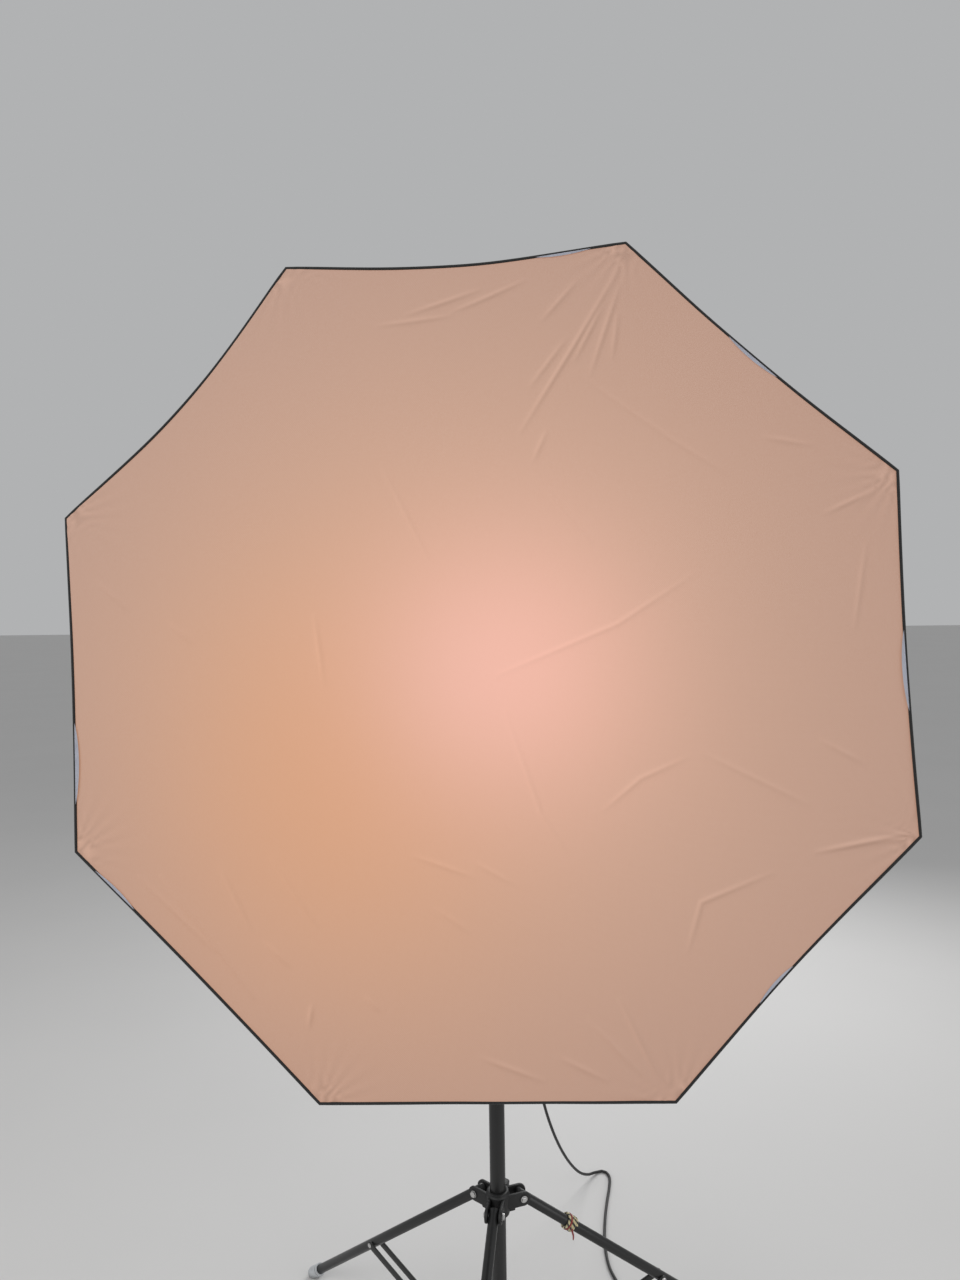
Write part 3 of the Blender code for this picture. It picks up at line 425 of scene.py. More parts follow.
def diffusion_cloth():
    """White cloth lit from behind: a pinkish hot spot, a warm amber field to its lower left, dimmer edges,
    and painted shade on the flanks of its creases.

    The glow is laid out in the softbox's own plane, x to the right and y up from its middle.
    """
    made = Finish("diffusion_cloth", Roughness=0.85, Sheen_Weight=0.1, Emission_Strength=1.0)
    offset = made.vector("SUBTRACT", made.place(), tuple(TO_SOFTBOX.translation))
    x = made.dot(offset, tuple(TO_SOFTBOX.col[0].xyz))
    y = made.dot(offset, tuple(TO_SOFTBOX.col[1].xyz))

    def pool(middle, spread):
        left = ((x - middle[0]) / spread[0]) ** 2
        low = ((y - middle[1]) / spread[1]) ** 2
        return ((left + low) * -1.0).exponential()

    edge_tone = (0.46, 0.30, 0.24, 1)        # far from the bulb
    middle_tone = (0.66, 0.42, 0.31, 1)
    amber_tone = (0.72, 0.38, 0.22, 1)       # low on the left
    bulb_tone = (0.90, 0.51, 0.41, 1)        # straight in front of the bulb
    glow = made.mix(pool((0.0, 0.0), (0.50, 0.50)), edge_tone, middle_tone)
    glow = made.mix(pool((-0.18, -0.12), (0.25, 0.30)) * 0.8, glow, amber_tone)
    glow = made.mix(pool((0.05, 0.0), (0.18, 0.18)), glow, bulb_tone)
    drift = made.noise(made.place(), 5.0, 2.0) - 0.5
    # painted crease shade: fold_shade brightens the glow on crease flanks that face the upper left and dims
    # it on the other flanks
    shade = made.mark("fold_shade")
    level = (1.0 + drift * 0.035 + shade * 0.16) * glow_gain
    lit = made.vector("SUBTRACT", made.scaled(glow, level), ambient_share)
    made.set("Emission Color", made.vector("MAXIMUM", lit, (0.0, 0.0, 0.0)))
    spot = made.parts(made.weave())
    fine = (spot * (2 * pi / 0.0024)).sine() * (spot.other("Y") * (2 * pi / 0.0024)).sine()
    made.set("Base Color", made.mix(drift + 0.5, cloth_base, tuple(0.93 * c for c in cloth_base[:3]) + (1,)))
    return made.bump(fine, 0.00006)


def baffle_cloth():
    made = Finish("baffle_cloth", Roughness=0.85, Emission_Strength=0.6)
    where = made.place()
    cloud = made.noise(where, 7.0, 3.0)
    made.set("Base Color", made.mix(cloud, grey(0.72, 0.02), grey(0.80, 0.02)))
    made.set("Emission Color", made.mix(cloud, (1.0, 0.72, 0.50, 1), (1.0, 0.80, 0.60, 1)))
    return made.bump(made.noise(where, 500.0), 0.0001)


def floor_paint():
    made = Finish("pale_floor", IOR=1.4)
    where = made.place()
    cloud = made.noise(where, 1.3, 3.0)
    made.set("Base Color", made.mix(cloud, grey(0.60, 0.012), grey(0.64, 0.012)))
    made.set("Roughness", 0.72 + cloud * 0.1)
    return made.bump(made.noise(where, 240.0, 3.0), 0.0001)


# ------------------------------------------------------------------ shapes
def arc(middle, radius, first, last, steps):
    """Points along an arc, angles in radians."""
    turns = [first + (last - first) * k / steps for k in range(steps + 1)]
    return [(middle[0] + radius * cos(a), middle[1] + radius * sin(a)) for a in turns]


def soften(shape, width, segments=2, sharper_than=radians(28)):
    """Round off every edge that is sharper than an angle."""
    sharp = [e for e in shape.edges if len(e.link_faces) == 2 and e.calc_face_angle(0.0) > sharper_than]
    bmesh.ops.bevel(
        shape,
        geom=sharp,
        offset=width,
        offset_type="OFFSET",
        segments=segments,
        profile=0.5,
        affect="EDGES",
        clamp_overlap=True,
        material=-1,
    )
    return shape


def closed_up(shape):
    bmesh.ops.remove_doubles(shape, verts=shape.verts, dist=2e-6)
    bmesh.ops.dissolve_degenerate(shape, edges=shape.edges, dist=1e-6)
    rims = [e for e in shape.edges if e.is_boundary]
    if rims:
        bmesh.ops.holes_fill(shape, edges=rims, sides=0)
    bmesh.ops.recalc_face_normals(shape, faces=shape.faces)
    return shape


def turned(profile, steps=64, edge=0.0):
    """A solid of revolution about Z.  The profile, (radius, height), closes on itself or ends on the axis."""
    shape = bmesh.new()
    points = [shape.verts.new((r, 0, z)) for r, z in profile]
    line = [shape.edges.new(pair) for pair in zip(points, points[1:])]
    if profile[0][0] > 0 or profile[-1][0] > 0:
        line.append(shape.edges.new((points[-1], points[0])))
    bmesh.ops.spin(
        shape, geom=points + line, cent=(0, 0, 0), axis=(0, 0, 1), angle=2 * pi, steps=steps, use_merge=True
    )
    closed_up(shape)
    return soften(shape, edge) if edge else shape


def plate(outline, thickness, edge=0.0, segments=2):
    """A flat piece in the XY plane, its thickness shared above and below."""
    shape = bmesh.new()
    face = shape.faces.new([shape.verts.new((x, y, -thickness / 2)) for x, y in outline])
    raised = bmesh.ops.extrude_face_region(shape, geom=[face])["geom"]
    top = [item for item in raised if isinstance(item, bmesh.types.BMVert)]
    bmesh.ops.translate(shape, vec=(0, 0, thickness), verts=top)
    bmesh.ops.recalc_face_normals(shape, faces=shape.faces)
    return soften(shape, edge, segments) if edge else shape


def bar(size, edge=0.0, middle=(0, 0, 0), segments=2):
    shape = bmesh.new()
    bmesh.ops.create_cube(shape, size=1.0)
    bmesh.ops.scale(shape, vec=size, verts=shape.verts)
    bmesh.ops.translate(shape, vec=middle, verts=shape.verts)
    return soften(shape, edge, segments) if edge else shape


def moved(shape, matrix):
    bmesh.ops.transform(shape, matrix=matrix, verts=shape.verts)
    return shape


def at(x, y, z):
    return Matrix.Translation((x, y, z))


def turn(angle, axis):
    return Matrix.Rotation(angle, 4, axis)


def together(*shapes):
    """Several shapes in one."""
    whole = bmesh.new()
    for shape in shapes:
        carrier = bpy.data.meshes.new("carrier")
        shape.to_mesh(carrier)
        shape.free()
        whole.from_mesh(carrier)
        bpy.data.meshes.remove(carrier)
    return whole


def surface(place, columns, rows, width, length):
    """A grid laid out by place(u, v), each from 0 to 1, with its size in metres on the weave map."""
    shape = bmesh.new()
    bmesh.ops.create_grid(shape, x_segments=columns, y_segments=rows, size=0.5)
    weave = shape.loops.layers.uv.new("weave")
    for face in shape.faces:
        for loop in face.loops:
            loop[weave].uv = ((loop.vert.co.x + 0.5) * width, (loop.vert.co.y + 0.5) * length)
    for vert in shape.verts:
        vert.co = place(vert.co.x + 0.5, vert.co.y + 0.5)
    return shape


def stations_on(line):
    """A frame at each point of a line, carried along it without twist."""
    found = []
    across = None
    for k, point in enumerate(line):
        ahead = (line[min(k + 1, len(line) - 1)] - line[max(k - 1, 0)]).normalized()
        if across is None:
            across = ahead.orthogonal().normalized()
        across = (across - ahead * across.dot(ahead)).normalized()
        found.append(axes(point, across, ahead.cross(across), ahead))
    return found


def length_of(line):
    return sum((b - a).length for a, b in zip(line, line[1:]))


def tube(line, radius, around=12, flat=1.0):
    """A cord or rod along a line.  The radius may be a function of the share of the way along."""
    stations = stations_on(line)
    last = len(line) - 1

    def place(u, v):
        reach = radius(v) if callable(radius) else radius
        angle = 2 * pi * u
        return stations[round(v * last)] @ Vector((reach * cos(angle), reach * flat * sin(angle), 0))

    thickness = radius(0.5) if callable(radius) else radius
    return closed_up(surface(place, around, last, 2 * pi * thickness, length_of(line)))


def smooth_route(points, spacing):
    """Even steps along a smooth curve through the points."""
    nodes = [Vector(p) for p in points]
    line = []
    for k in range(len(nodes) - 1):
        first, last = nodes[k], nodes[k + 1]
        handle = (last - first).length / 3
        lead_out = first + (last - nodes[max(k - 1, 0)]).normalized() * handle
        lead_in = last - (nodes[min(k + 2, len(nodes) - 1)] - first).normalized() * handle
        line += geometry.interpolate_bezier(first, lead_out, lead_in, last, 24)[:-1]
    line.append(nodes[-1])
    walked = [line[0]]
    travelled = 0.0
    for one, other in zip(line, line[1:]):
        travelled += (other - one).length
        if travelled >= spacing:
            walked.append(other)
            travelled = 0.0
    if (walked[-1] - line[-1]).length < spacing / 2:
        walked.pop()
    return walked + [line[-1]]


def lobed_knob(radius, thickness, lobes=6, depth=0.07):
    """A hand knob on its seat at z = 0, with a dished face."""
    steps = lobes * 12
    turns = [2 * pi * k / steps for k in range(steps)]
    reaches = [radius * (1 - depth + depth * cos(lobes * a)) for a in turns]
    shape = plate([(r * cos(a), r * sin(a)) for r, a in zip(reaches, turns)], thickness)
    moved(shape, at(0, 0, thickness / 2))
    face = max(shape.faces, key=lambda f: f.calc_center_median().z)
    bmesh.ops.inset_region(shape, faces=[face], thickness=radius * 0.32, depth=0)
    bmesh.ops.inset_region(shape, faces=[face], thickness=radius * 0.06, depth=0)
    bmesh.ops.translate(shape, vec=(0, 0, -thickness * 0.12), verts=face.verts)
    return soften(shape, radius * 0.06, 3, radians(40))


def cap_screw(radius, height):
    """A socket screw's head on its seat at z = 0."""
    socket = radius * 0.5
    hex_points = [(socket * cos(k * pi / 3), socket * sin(k * pi / 3)) for k in range(6)]
    profile = [(0, 0), (radius, 0), (radius, height), (socket * 1.15, height), (0, height)]
    head = turned(profile, 24, height * 0.12)
    recess = plate(hex_points, height * 0.06)
    return together(head, moved(recess, at(0, 0, height * 1.01)))


def hex_nut(radius, height):
    points = [(radius * cos(k * pi / 3), radius * sin(k * pi / 3)) for k in range(6)]
    nut = plate(points, height, height * 0.12, 2)
    return moved(nut, at(0, 0, height / 2))


# ------------------------------------------------------------------ pieces
def piece(name, shape, finish, body, replaced=(), place=None, thicken=0.0, lining=None):
    """Make a shape a piece that rides on a body; thicken gives a sheet its thickness, inwards."""
    if place is not None:
        moved(shape, place)
    mesh = bpy.data.meshes.new(name)
    shape.to_mesh(mesh)
    shape.free()
    mesh.materials.append(finish.material)
    mesh.polygons.foreach_set("use_smooth", [True] * len(mesh.polygons))
    mesh.set_sharp_from_angle(angle=radians(38))
    made = bpy.data.objects.new(name, mesh)
    bpy.context.scene.collection.objects.link(made)
    if lining is not None:
        mesh.materials.append(lining.material)
    if thicken:
        walls = made.modifiers.new("thickness", "SOLIDIFY")
        walls.thickness = thicken
        walls.offset = -1.0
        walls.material_offset = 1 if lining is not None else 0
    if isinstance(body, str):
        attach(made, body)
    else:
        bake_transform(made)
    if replaced:
        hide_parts(*([replaced] if isinstance(replaced, str) else replaced))
    return made


# ------------------------------------------------------------------ sizes that finishes need
tie_cord_radius = 0.0023
glow_gain = 0.98
cloth_base = (0.22, 0.21, 0.20, 1)
ambient_share = (0.198, 0.194, 0.187)     # what the studio light adds to the cloth

PAINT = satin_paint()
MOULDING = black_moulding()
STEEL = plated_steel()
ALLOY = turned_alloy()
RUBBER = pale_rubber()
NYLON = ripstop()
SILVER = silver_lining()
BINDING = webbing()
THREAD = plain_thread()
GLASS = frosted_glass()
CERAMIC = glazed_ceramic()
FLEX = flex_rubber()
STRIPED = striped_cord()
RED = red_cord()
MARKS = pad_print()
HEM = hem_cloth()
DIFFUSER = diffusion_cloth()
BAFFLE = baffle_cloth()


# ------------------------------------------------------------------ mains lead
lead_radius = 0.0033
coil_middle = column + Vector((0.215, 0.205, 0.0))
coil_pitch = 2 * lead_radius
coil_radius = 0.0363
outer_turn = coil_radius + coil_pitch
inner_turn = coil_radius - coil_pitch
floor_turns = 3
top_turns = 2
lower_layer = 0.0036
floor_run_top = 0.06              # height of the point listed with the last run's bodies
upper_layer = lower_layer + 2 * lead_radius

# The lead's own points from the lamp down to the floor and along it, from the column.
lead_route = [
    (0.000, 0.1973, 1.2318),
    (0.001, 0.1945, 1.200),
    (0.003, 0.1985, 1.145),
    (0.007, 0.214, 1.060),
    (0.014, 0.242, 0.940),
    (0.024, 0.278, 0.800),
    (0.036, 0.319, 0.660),
    (0.049, 0.361, 0.530),
    (0.062, 0.403, 0.415),
    (0.077, 0.445, 0.318),
    (0.094, 0.489, 0.237),
    (0.113, 0.535, 0.166),
    (0.134, 0.583, 0.104),
    (0.156, 0.632, 0.053),
    (0.178, 0.679, 0.019),
    (0.199, 0.712, 0.0050),
    (0.219, 0.719, 0.0036),
    (0.231, 0.697, 0.0036),
    (0.229, 0.655, 0.0036),
    (0.221, 0.600, 0.0036),
    (0.213, 0.530, 0.0036),
    (0.209, 0.450, 0.0036),
    (0.215, 0.375, 0.0036),
    (0.232, 0.320, 0.0036),
    (0.249, 0.268, 0.0036),
    (0.257, 0.232, 0.0036),
]


def coil_points(start_turn):
    """Clockwise in two layers: inwards along the floor, then outwards on top and off to the plug."""
    steps = 26
    climb_steps = 4
    inward = floor_turns * 2 * pi
    outward = top_turns * 2 * pi
    climb = pi / 3
    plug_heading = -(pi / 2)
    points = []
    first_reach = outer_turn + coil_pitch
    for k in range(1, floor_turns * steps + 1):
        share = k / (floor_turns * steps)
        reach = first_reach - (first_reach - inner_turn) * share
        points.append((reach, start_turn - inward * share, lower_layer))
    for k in range(1, climb_steps + 1):
        angle = start_turn - inward - climb * k / climb_steps
        points.append((inner_turn, angle, lower_layer + 2 * lead_radius * k / climb_steps))
    start = start_turn - inward - climb
    for k in range(1, top_turns * steps + 1):
        share = k / (top_turns * steps)
        reach = inner_turn + (outer_turn - inner_turn) * share
        points.append((reach, start - outward * share, upper_layer))
    end = start - outward
    leaving = plug_heading - 2 * pi * round((plug_heading - end) / (-2 * pi) + 0.5)
    if leaving > end:
        leaving -= 2 * pi
    rest = max(2, int((end - leaving) / (2 * pi / steps)))
    for k in range(1, rest + 1):
        points.append((outer_turn, end + (leaving - end) * k / rest, upper_layer))
    return [coil_middle + Vector((r * cos(a), r * sin(a), z)) for r, a, z in points]


def lead_lines():
    """The lead's centreline in runs that each cross one joint, from the lamp to the plug."""
    route = smooth_route([column + Vector(p) for p in lead_route], 0.012)
    arrival = route[-1] - coil_middle
    coil = coil_points(atan2(arrival.y, arrival.x))
    plug_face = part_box("mains_plug")[1].x
    plug_level = middle_of("mains_plug").z
    step = Vector((plug_face - coil[-1].x, 0, plug_level - coil[-1].z))
    tail = [coil[-1] + step * (k / 4) for k in range(1, 5)]
    whole = route + coil + tail
    levels = (1.075, 0.800, 0.530)      # where one run ends and the next begins
    runs = []
    start = 0
    for level in levels:
        end = next(k for k, p in enumerate(route) if p.z < level)
        runs.append(whole[start:end + 1])
        start = end
    runs.append(whole[start:])
    return runs


def make_plug():
    """A moulded two-pin plug with a ribbed grip."""
    low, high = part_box("mains_plug")
    long, wide, deep = high - low
    middle = (low + high) / 2
    body = bar((long * 0.62, wide, deep), 0.0045, (-long * 0.19, 0, 0), 4)
    taper_profile = [
        (0, 0),
        (deep * 0.44, 0),
        (deep * 0.30, long * 0.30),
        (0.0045, long * 0.46),
        (0, long * 0.46),
    ]
    taper = turned(taper_profile, 32, 0.0008)
    moved(taper, at(long * 0.04, 0, 0) @ turn(pi / 2, "Y"))
    ribs = [
        moved(bar((0.0014, wide * 0.7, deep * 1.02), 0.0005), at(-long * 0.30 + 0.004 * k, 0, 0))
        for k in range(5)
    ]
    plug = piece(
        "plug_moulding", together(body, taper, *ribs), FLEX, "root", "mains_plug",
        Matrix.Translation(middle),
    )
    pin_half_spacing = 0.0095
    pin_radius = 0.0024
    pin_tip_radius = 0.0016
    pin_shoulder = 0.012
    pin_length = 0.0135
    pin_profile = [
        (0, 0),
        (pin_radius, 0),
        (pin_radius, pin_shoulder),
        (pin_tip_radius, pin_length),
        (0, pin_length),
    ]
    pins = [
        moved(turned(pin_profile, 20), at(-long / 2, side * pin_half_spacing, 0) @ turn(-pi / 2, "Y"))
        for side in (-1, 1)
    ]
    prongs = piece(
        "plug_pins", together(*pins), STEEL, "root", (), Matrix.Translation(middle)
    )
    return plug, prongs


def make_lead():
    names = ("lead_at_lamp", "lead_under_lamp", "lead_behind_column", "lead_to_floor")
    steps = (("lamp", "swivel"), ("swivel", "upper"), ("upper", "middle"), ("middle", "root"))
    runs = lead_lines()
    made = []
    for name, line, bodies in zip(names, runs, steps):
        far = Vector((line[0].x, line[0].y, floor_run_top)) if name == "lead_to_floor" else line[-1]
        shape = tube(line, lead_radius, 12)
        replaced = ("mains_lead", "lead_coil") if name == "lead_to_floor" else ()
        made.append(piece(name, shape, FLEX, (*bodies, line[0], far), replaced))
    plug, prongs = make_plug()
    tie = make_coil_tie()
    relief = make_strain_relief()
    for index, (run, line) in enumerate(zip(made, runs)):
        last = index == len(made) - 1
        length_of(line)
        [plug, prongs, tie] if last else [relief] if index == 0 else []


def make_coil_tie():
    """A hook-and-loop strap round the coil's turns."""
    angle = radians(150)
    reach = (outer_turn + inner_turn) / 2
    half_width = (outer_turn - inner_turn) / 2 + lead_radius + 0.0008
    half_height = 2 * lead_radius + 0.0004
    strap_width = 0.012
    lowest = -0.0032                  # the strap lies flat on the floor below this
    level = lower_layer + lead_radius

    def place(u, v):
        spin = 2 * pi * u
        x, z = cos(spin), sin(spin)
        square = (abs(x) ** 4 + abs(z) ** 4) ** -0.25
        across = x * square * half_width
        up = max(z * square * half_height, lowest)
        return Vector((across, (v - 0.5) * strap_width, up))

    strap = surface(place, 36, 4, 4 * (half_width + half_height), strap_width)
    bmesh.ops.remove_doubles(strap, verts=strap.verts, dist=1e-6)
    bmesh.ops.recalc_face_normals(strap, faces=strap.faces)
    centre = coil_middle + Vector((reach * cos(angle), reach * sin(angle), level))
    stand = Matrix.Translation(centre) @ turn(angle, "Z")
    return piece("coil_strap", strap, BINDING, "root", (), stand, 0.0007)


def make_strain_relief():
    """The ribbed sleeve that carries the lead out of the rear cover."""
    low, high = local_box("strain_relief", TO_OPTIC)
    long = high.y - low.y
    wide = (high.x - low.x) / 2
    collar = 0.007
    profile = [(0, 0), (wide, 0), (wide, 0.002), (wide - 0.0018, 0.002), (wide - 0.0018, collar)]
    grooves = 6
    run = (long - collar - 0.004) / grooves
    for k in range(grooves):
        level = collar + run * k
        reach = (wide - 0.002) - (wide - 0.002 - lead_radius - 0.001) * k / grooves
        profile += [
            (reach, level + run * 0.1),
            (reach, level + run * 0.6),
            (reach - 0.0009, level + run * 0.7),
            (reach - 0.0009, level + run),
        ]
    profile += [(lead_radius + 0.0008, long), (0, long)]
    place = TO_OPTIC @ at(0, high.y, (low.z + high.z) / 2) @ turn(pi / 2, "X")
    return piece("lead_sleeve", turned(profile, 32), FLEX, "lamp", "strain_relief", place)


make_lead()


# ------------------------------------------------------------------ stand
def wall_ring(inner, outer, bottom, top):
    return [(outer, bottom), (outer, top), (inner, top), (inner, bottom)]


def make_tubes():
    wall = 0.0012
    for name, node, body in (
        ("column_lower", "lower_tube", "root"),
        ("column_middle", "middle_tube", "middle"),
        ("column_upper", "upper_tube", "upper"),
    ):
        low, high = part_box(node)
        outer = (high.x - low.x) / 2
        shape = turned(wall_ring(outer - wall, outer, low.z, high.z), 72, 0.0004)
        piece(name, shape, PAINT, body, node, TO_COLUMN)
    low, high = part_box("tube_end_plug")
    outer = (high.x - low.x) / 2
    step = 0.0016
    rim = low.z + 0.0037
    shape = turned(
        [(0, low.z), (outer - step, low.z), (outer, low.z + step), (outer, rim),
         (outer - step, rim), (outer - step, high.z), (0, high.z)],
        72,
        0.0003,
    )
    piece("column_end_plug", shape, MOULDING, "root", "tube_end_plug", TO_COLUMN)


def heading_of(side):
    pivot = Vector(joints[f"leg_{side}_fold"]["pos_m"]) - column
    return atan2(pivot.y, pivot.x)


pivot_radius = (Vector(joints["leg_front_fold"]["pos_m"]) - column).xy.length
pivot_level = joints["leg_front_fold"]["pos_m"][2]
leg_radius = 0.00925
fork_half = leg_radius + 0.0008     # leg's middle to the inner face of a lug or a brace bar
cheek = 0.005
brace_thickness = 0.0025
tube_radius = (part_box("lower_tube")[1].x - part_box("lower_tube")[0].x) / 2


def upright(heading, across, level):
    """Stand a flat piece in a leg's plane: its X runs outwards and its Y up."""
    return turn(heading, "Z") @ at(0, across, level) @ turn(pi / 2, "X")


def lug_outline(root, reach, radius):
    return [(root, -radius)] + arc((reach, 0), radius, -pi / 2, pi / 2, 14) + [(root, radius)]


def knob_boss(root, face, hole, height, floor):
    """The round boss that a clamping knob's shank goes into, open down to its floor."""
    profile = [(0, 0), (root, 0), (face, height), (hole, height), (hole, floor), (0, floor)]
    return turned(profile, 40, 0.0006)


def make_hub():
    low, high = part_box("leg_hub")
    bore = tube_radius + gap
    outer = bore + 0.007
    bottom, top = low.z, high.z
    waist = (bottom + top) / 2
    shapes = [
        turned(
            [(bore, bottom), (outer - 0.001, bottom), (outer, bottom + 0.004), (outer - 0.0008, waist),
             (outer, top - 0.007), (outer - 0.0022, top - 0.004), (outer - 0.0022, top), (bore, top)],
            72,
            0.0008,
        )
    ]
    lug_radius = 0.013
    lug_root = 0.0126
    for side in legs:
        for hand in (-1, 1):
            lug = plate(lug_outline(lug_root, pivot_radius, lug_radius), cheek, 0.0011, 3)
            across = hand * (fork_half + cheek / 2)
            shapes.append(moved(lug, upright(heading_of(side), across, pivot_level)))
            rim = turned(wall_ring(0.0068, 0.0088, 0, 0.0008), 40, 0.0003)
            face = across + hand * cheek / 2
            spot = turn(heading_of(side), "Z") @ at(pivot_radius, face, pivot_level)
            shapes.append(moved(rim, spot @ turn(-hand * pi / 2, "X")))
        web = bar((0.012, 2 * fork_half, 0.010), 0.002, (outer + 0.003, 0, pivot_level - 0.016))
        shapes.append(moved(web, turn(heading_of(side), "Z")))
    knob = Vector(joints["hub_knob_turn"]["pos_m"]) - column
    boss = knob_boss(0.010, 0.0088, 0.0062, 0.0165, 0.012)
    sunk = 0.0066                     # how far the boss starts inside the casting
    direction = turn(atan2(knob.y, knob.x), "Z") @ at(outer - sunk, 0, knob.z) @ turn(pi / 2, "Y")
    shapes.append(moved(boss, direction))
    piece("hub_casting", together(*shapes), MOULDING, "hub", "leg_hub", TO_COLUMN)


def make_collar():
    """The fixed collar at the bottom of the column, where the braces stand."""
    low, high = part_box("lower_collar")
    bore = tube_radius + gap
    outer = bore + 0.006
    level = (low.z + high.z) / 2
    shapes = [turned(wall_ring(bore, outer, low.z, high.z), 72, 0.0012)]
    ear_radius = 0.008
    for side in legs:
        ear = plate(lug_outline(0.017, pivot_radius, ear_radius), 2 * leg_radius, 0.0014, 3)
        shapes.append(moved(ear, upright(heading_of(side), 0, level)))
        slot_line = bar((0.016, 0.002, 2 * ear_radius + 0.001), 0.0005, (0.028, 0, level))
        shapes.append(moved(slot_line, turn(heading_of(side), "Z")))
    piece("brace_collar", together(*shapes), MOULDING, "root", "lower_collar", TO_COLUMN)


def make_clamp(name, node, body, tube_node, knob_joint):
    """A stepped collar on the end of a tube, ribbed for grip, with a boss for its knob."""
    low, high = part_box(node)
    outer_tube = (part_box(tube_node)[1].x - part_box(tube_node)[0].x) / 2
    skin = (high.x - low.x) / 2
    inner_tube = outer_tube - 0.0015
    tube_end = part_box(tube_node)[1].z
    band = low.z + 0.006, low.z + 0.024
    profile = [
        (inner_tube + gap, high.z),
        (skin - 0.003, high.z),
        (skin - 0.0008, high.z - 0.003),
        (skin - 0.0008, band[1] + 0.002),
        (skin, band[1]),
        (skin, (band[0] + band[1]) / 2),
        (skin, band[0]),
        (skin - 0.0008, band[0] - 0.002),
        (skin - 0.0015, low.z),
        (outer_tube + gap, low.z),
        (outer_tube + gap, tube_end + gap),
        (inner_tube + gap, tube_end + gap),
    ]
    ribs = 30
    rib_depth = 0.045                 # as a share of the radius
    shape = turned(profile, ribs * 4)
    for vert in shape.verts:
        if vert.co.xy.length > skin - 0.0002:
            wave = 0.5 + 0.5 * cos(ribs * atan2(vert.co.y, vert.co.x))
            vert.co.xy = vert.co.xy * (1 - rib_depth * (1 - wave))
    knob = Vector(joints[knob_joint]["pos_m"]) - column
    heading = atan2(knob.y, knob.x)
    sunk = 0.0037                     # how far the boss starts inside the collar
    boss = knob_boss(0.009, 0.0078, 0.0058, 0.0115, 0.008)
    moved(boss, turn(heading, "Z") @ at(skin - sunk, 0, knob.z) @ turn(pi / 2, "Y"))
    piece(name, together(shape, boss), MOULDING, body, node, TO_COLUMN)


def insert_cap(thickness, root, rim, rim_share, top_share):
    """The end of a knob's metal insert, seen in its dished face; the shares are of its thickness."""
    profile = [
        (0, thickness * 0.86),
        (root, thickness * 0.86),
        (rim, thickness * rim_share),
        (0, thickness * top_share),
    ]
    return turned(profile, 28)


def make_knob(name, node, body, joint, tip_radius):
    """A lobed knob and its shank, pointing away from the column."""
    spot = Vector(joints[joint]["pos_m"]) - column
    outward = Vector(joints[joint]["axis"]).normalized()
    heading = atan2(outward.y, outward.x)
    far = max((Vector(v.co) - column).dot(outward) for v in frame["nodes"][node].data.vertices)
    thickness = 0.017
    radius = (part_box(node)[1].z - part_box(node)[0].z) / 2
    stand = TO_COLUMN @ turn(heading, "Z") @ at(far - thickness, 0, spot.z) @ turn(pi / 2, "Y")
    piece(name, lobed_knob(radius, thickness), MOULDING, body, node, stand)
    shank = far - thickness - tip_radius
    steel = together(
        turned([(0, -shank), (0.0024, -shank), (0.003, -shank + 0.001), (0.003, 0.001), (0, 0.001)], 28),
        insert_cap(thickness, 0.0042, 0.0036, 0.93, 0.95),
    )
    piece(name + "_shank", steel, STEEL, body, (), stand)


def leg_frame(side):
    """Origin on the leg's pivot, Z down the leg and Y along the pin."""
    fold_shade_layer = joints[f"leg_{side}_fold"]
    pivot = Vector(fold_shade_layer["pos_m"])
    down = (middle_of(f"leg_{side}") - pivot).normalized()
    heading = heading_of(side)
    pin = Vector((-sin(heading), cos(heading), 0.0))
    return axes(pivot, pin.cross(down), pin, down)


leg_start = -0.010


def leg_reach(side):
    pivot = Vector(joints[f"leg_{side}_fold"]["pos_m"])
    return 2 * (middle_of(f"leg_{side}") - pivot).length - leg_start


def make_pin(half_span, head_radius, head_height):
    """A pin across Z = 0 to both sides, with a washer and a dome at one end and a nut at the other."""
    seat = half_span + gap
    washer = 0.0008
    shank = turned([(0, -seat), (0.0027, -seat), (0.0027, seat), (0, seat)], 24)
    washers = [
        turned(wall_ring(0.0028, head_radius, seat, seat + washer), 32, 0.0002),
        turned(wall_ring(0.0028, head_radius, -seat - washer, -seat), 32, 0.0002),
    ]
    rest = head_height - washer
    dome = turned(
        [(0, seat + washer + rest), (head_radius * 0.40, seat + washer + rest * 0.92),
         (head_radius * 0.68, seat + washer + rest * 0.62), (head_radius * 0.80, seat + washer),
         (0, seat + washer)],
        32,
    )
    nut = moved(hex_nut(head_radius * 0.92, rest), at(0, 0, seat + washer))
    flipped = moved(nut, turn(pi, "X"))
    return together(shank, *washers, dome, flipped)


def make_leg(side):
    place = leg_frame(side)
    body = f"leg_{side}"
    reach = leg_reach(side)
    wall = 0.0012
    shape = turned(wall_ring(leg_radius - wall, leg_radius, leg_start, reach), 56, 0.0004)
    plug_top = leg_start - 0.0012
    plug_end = 0.004
    plug_profile = [
        (0, plug_top),
        (leg_radius - 0.002, plug_top),
        (leg_radius - 0.0005, leg_start),
        (leg_radius - wall, leg_start),
        (leg_radius - wall, plug_end),
        (0, plug_end),
    ]
    top_plug = turned(plug_profile, 40)
    piece(f"leg_tube_{side}", together(shape, top_plug), PAINT, body, f"leg_{side}", place)
    bolt = make_pin(fork_half + cheek, 0.0062, 0.0036)
    across = turn(pi / 2, "X")
    piece(
        f"hub_bolt_{side}", bolt, STEEL, "hub", f"leg_bolt_{side}", place @ across
    )

    brace = joints[f"brace_{side}_fold"]
    brace_pivot = Vector(brace["pos_m"])
    brace_down = (brace_pivot - Vector(joints[f"leg_{side}_fold"]["pos_m"])).length
    rivet = make_pin(fork_half + brace_thickness, 0.0048, 0.0018)
    piece(
        f"brace_pin_{side}", rivet, STEEL, body, f"brace_rivet_{side}",
        place @ at(0, 0, brace_down) @ across,
    )
    make_foot(side, place, reach)
    make_braces(side, brace_pivot)


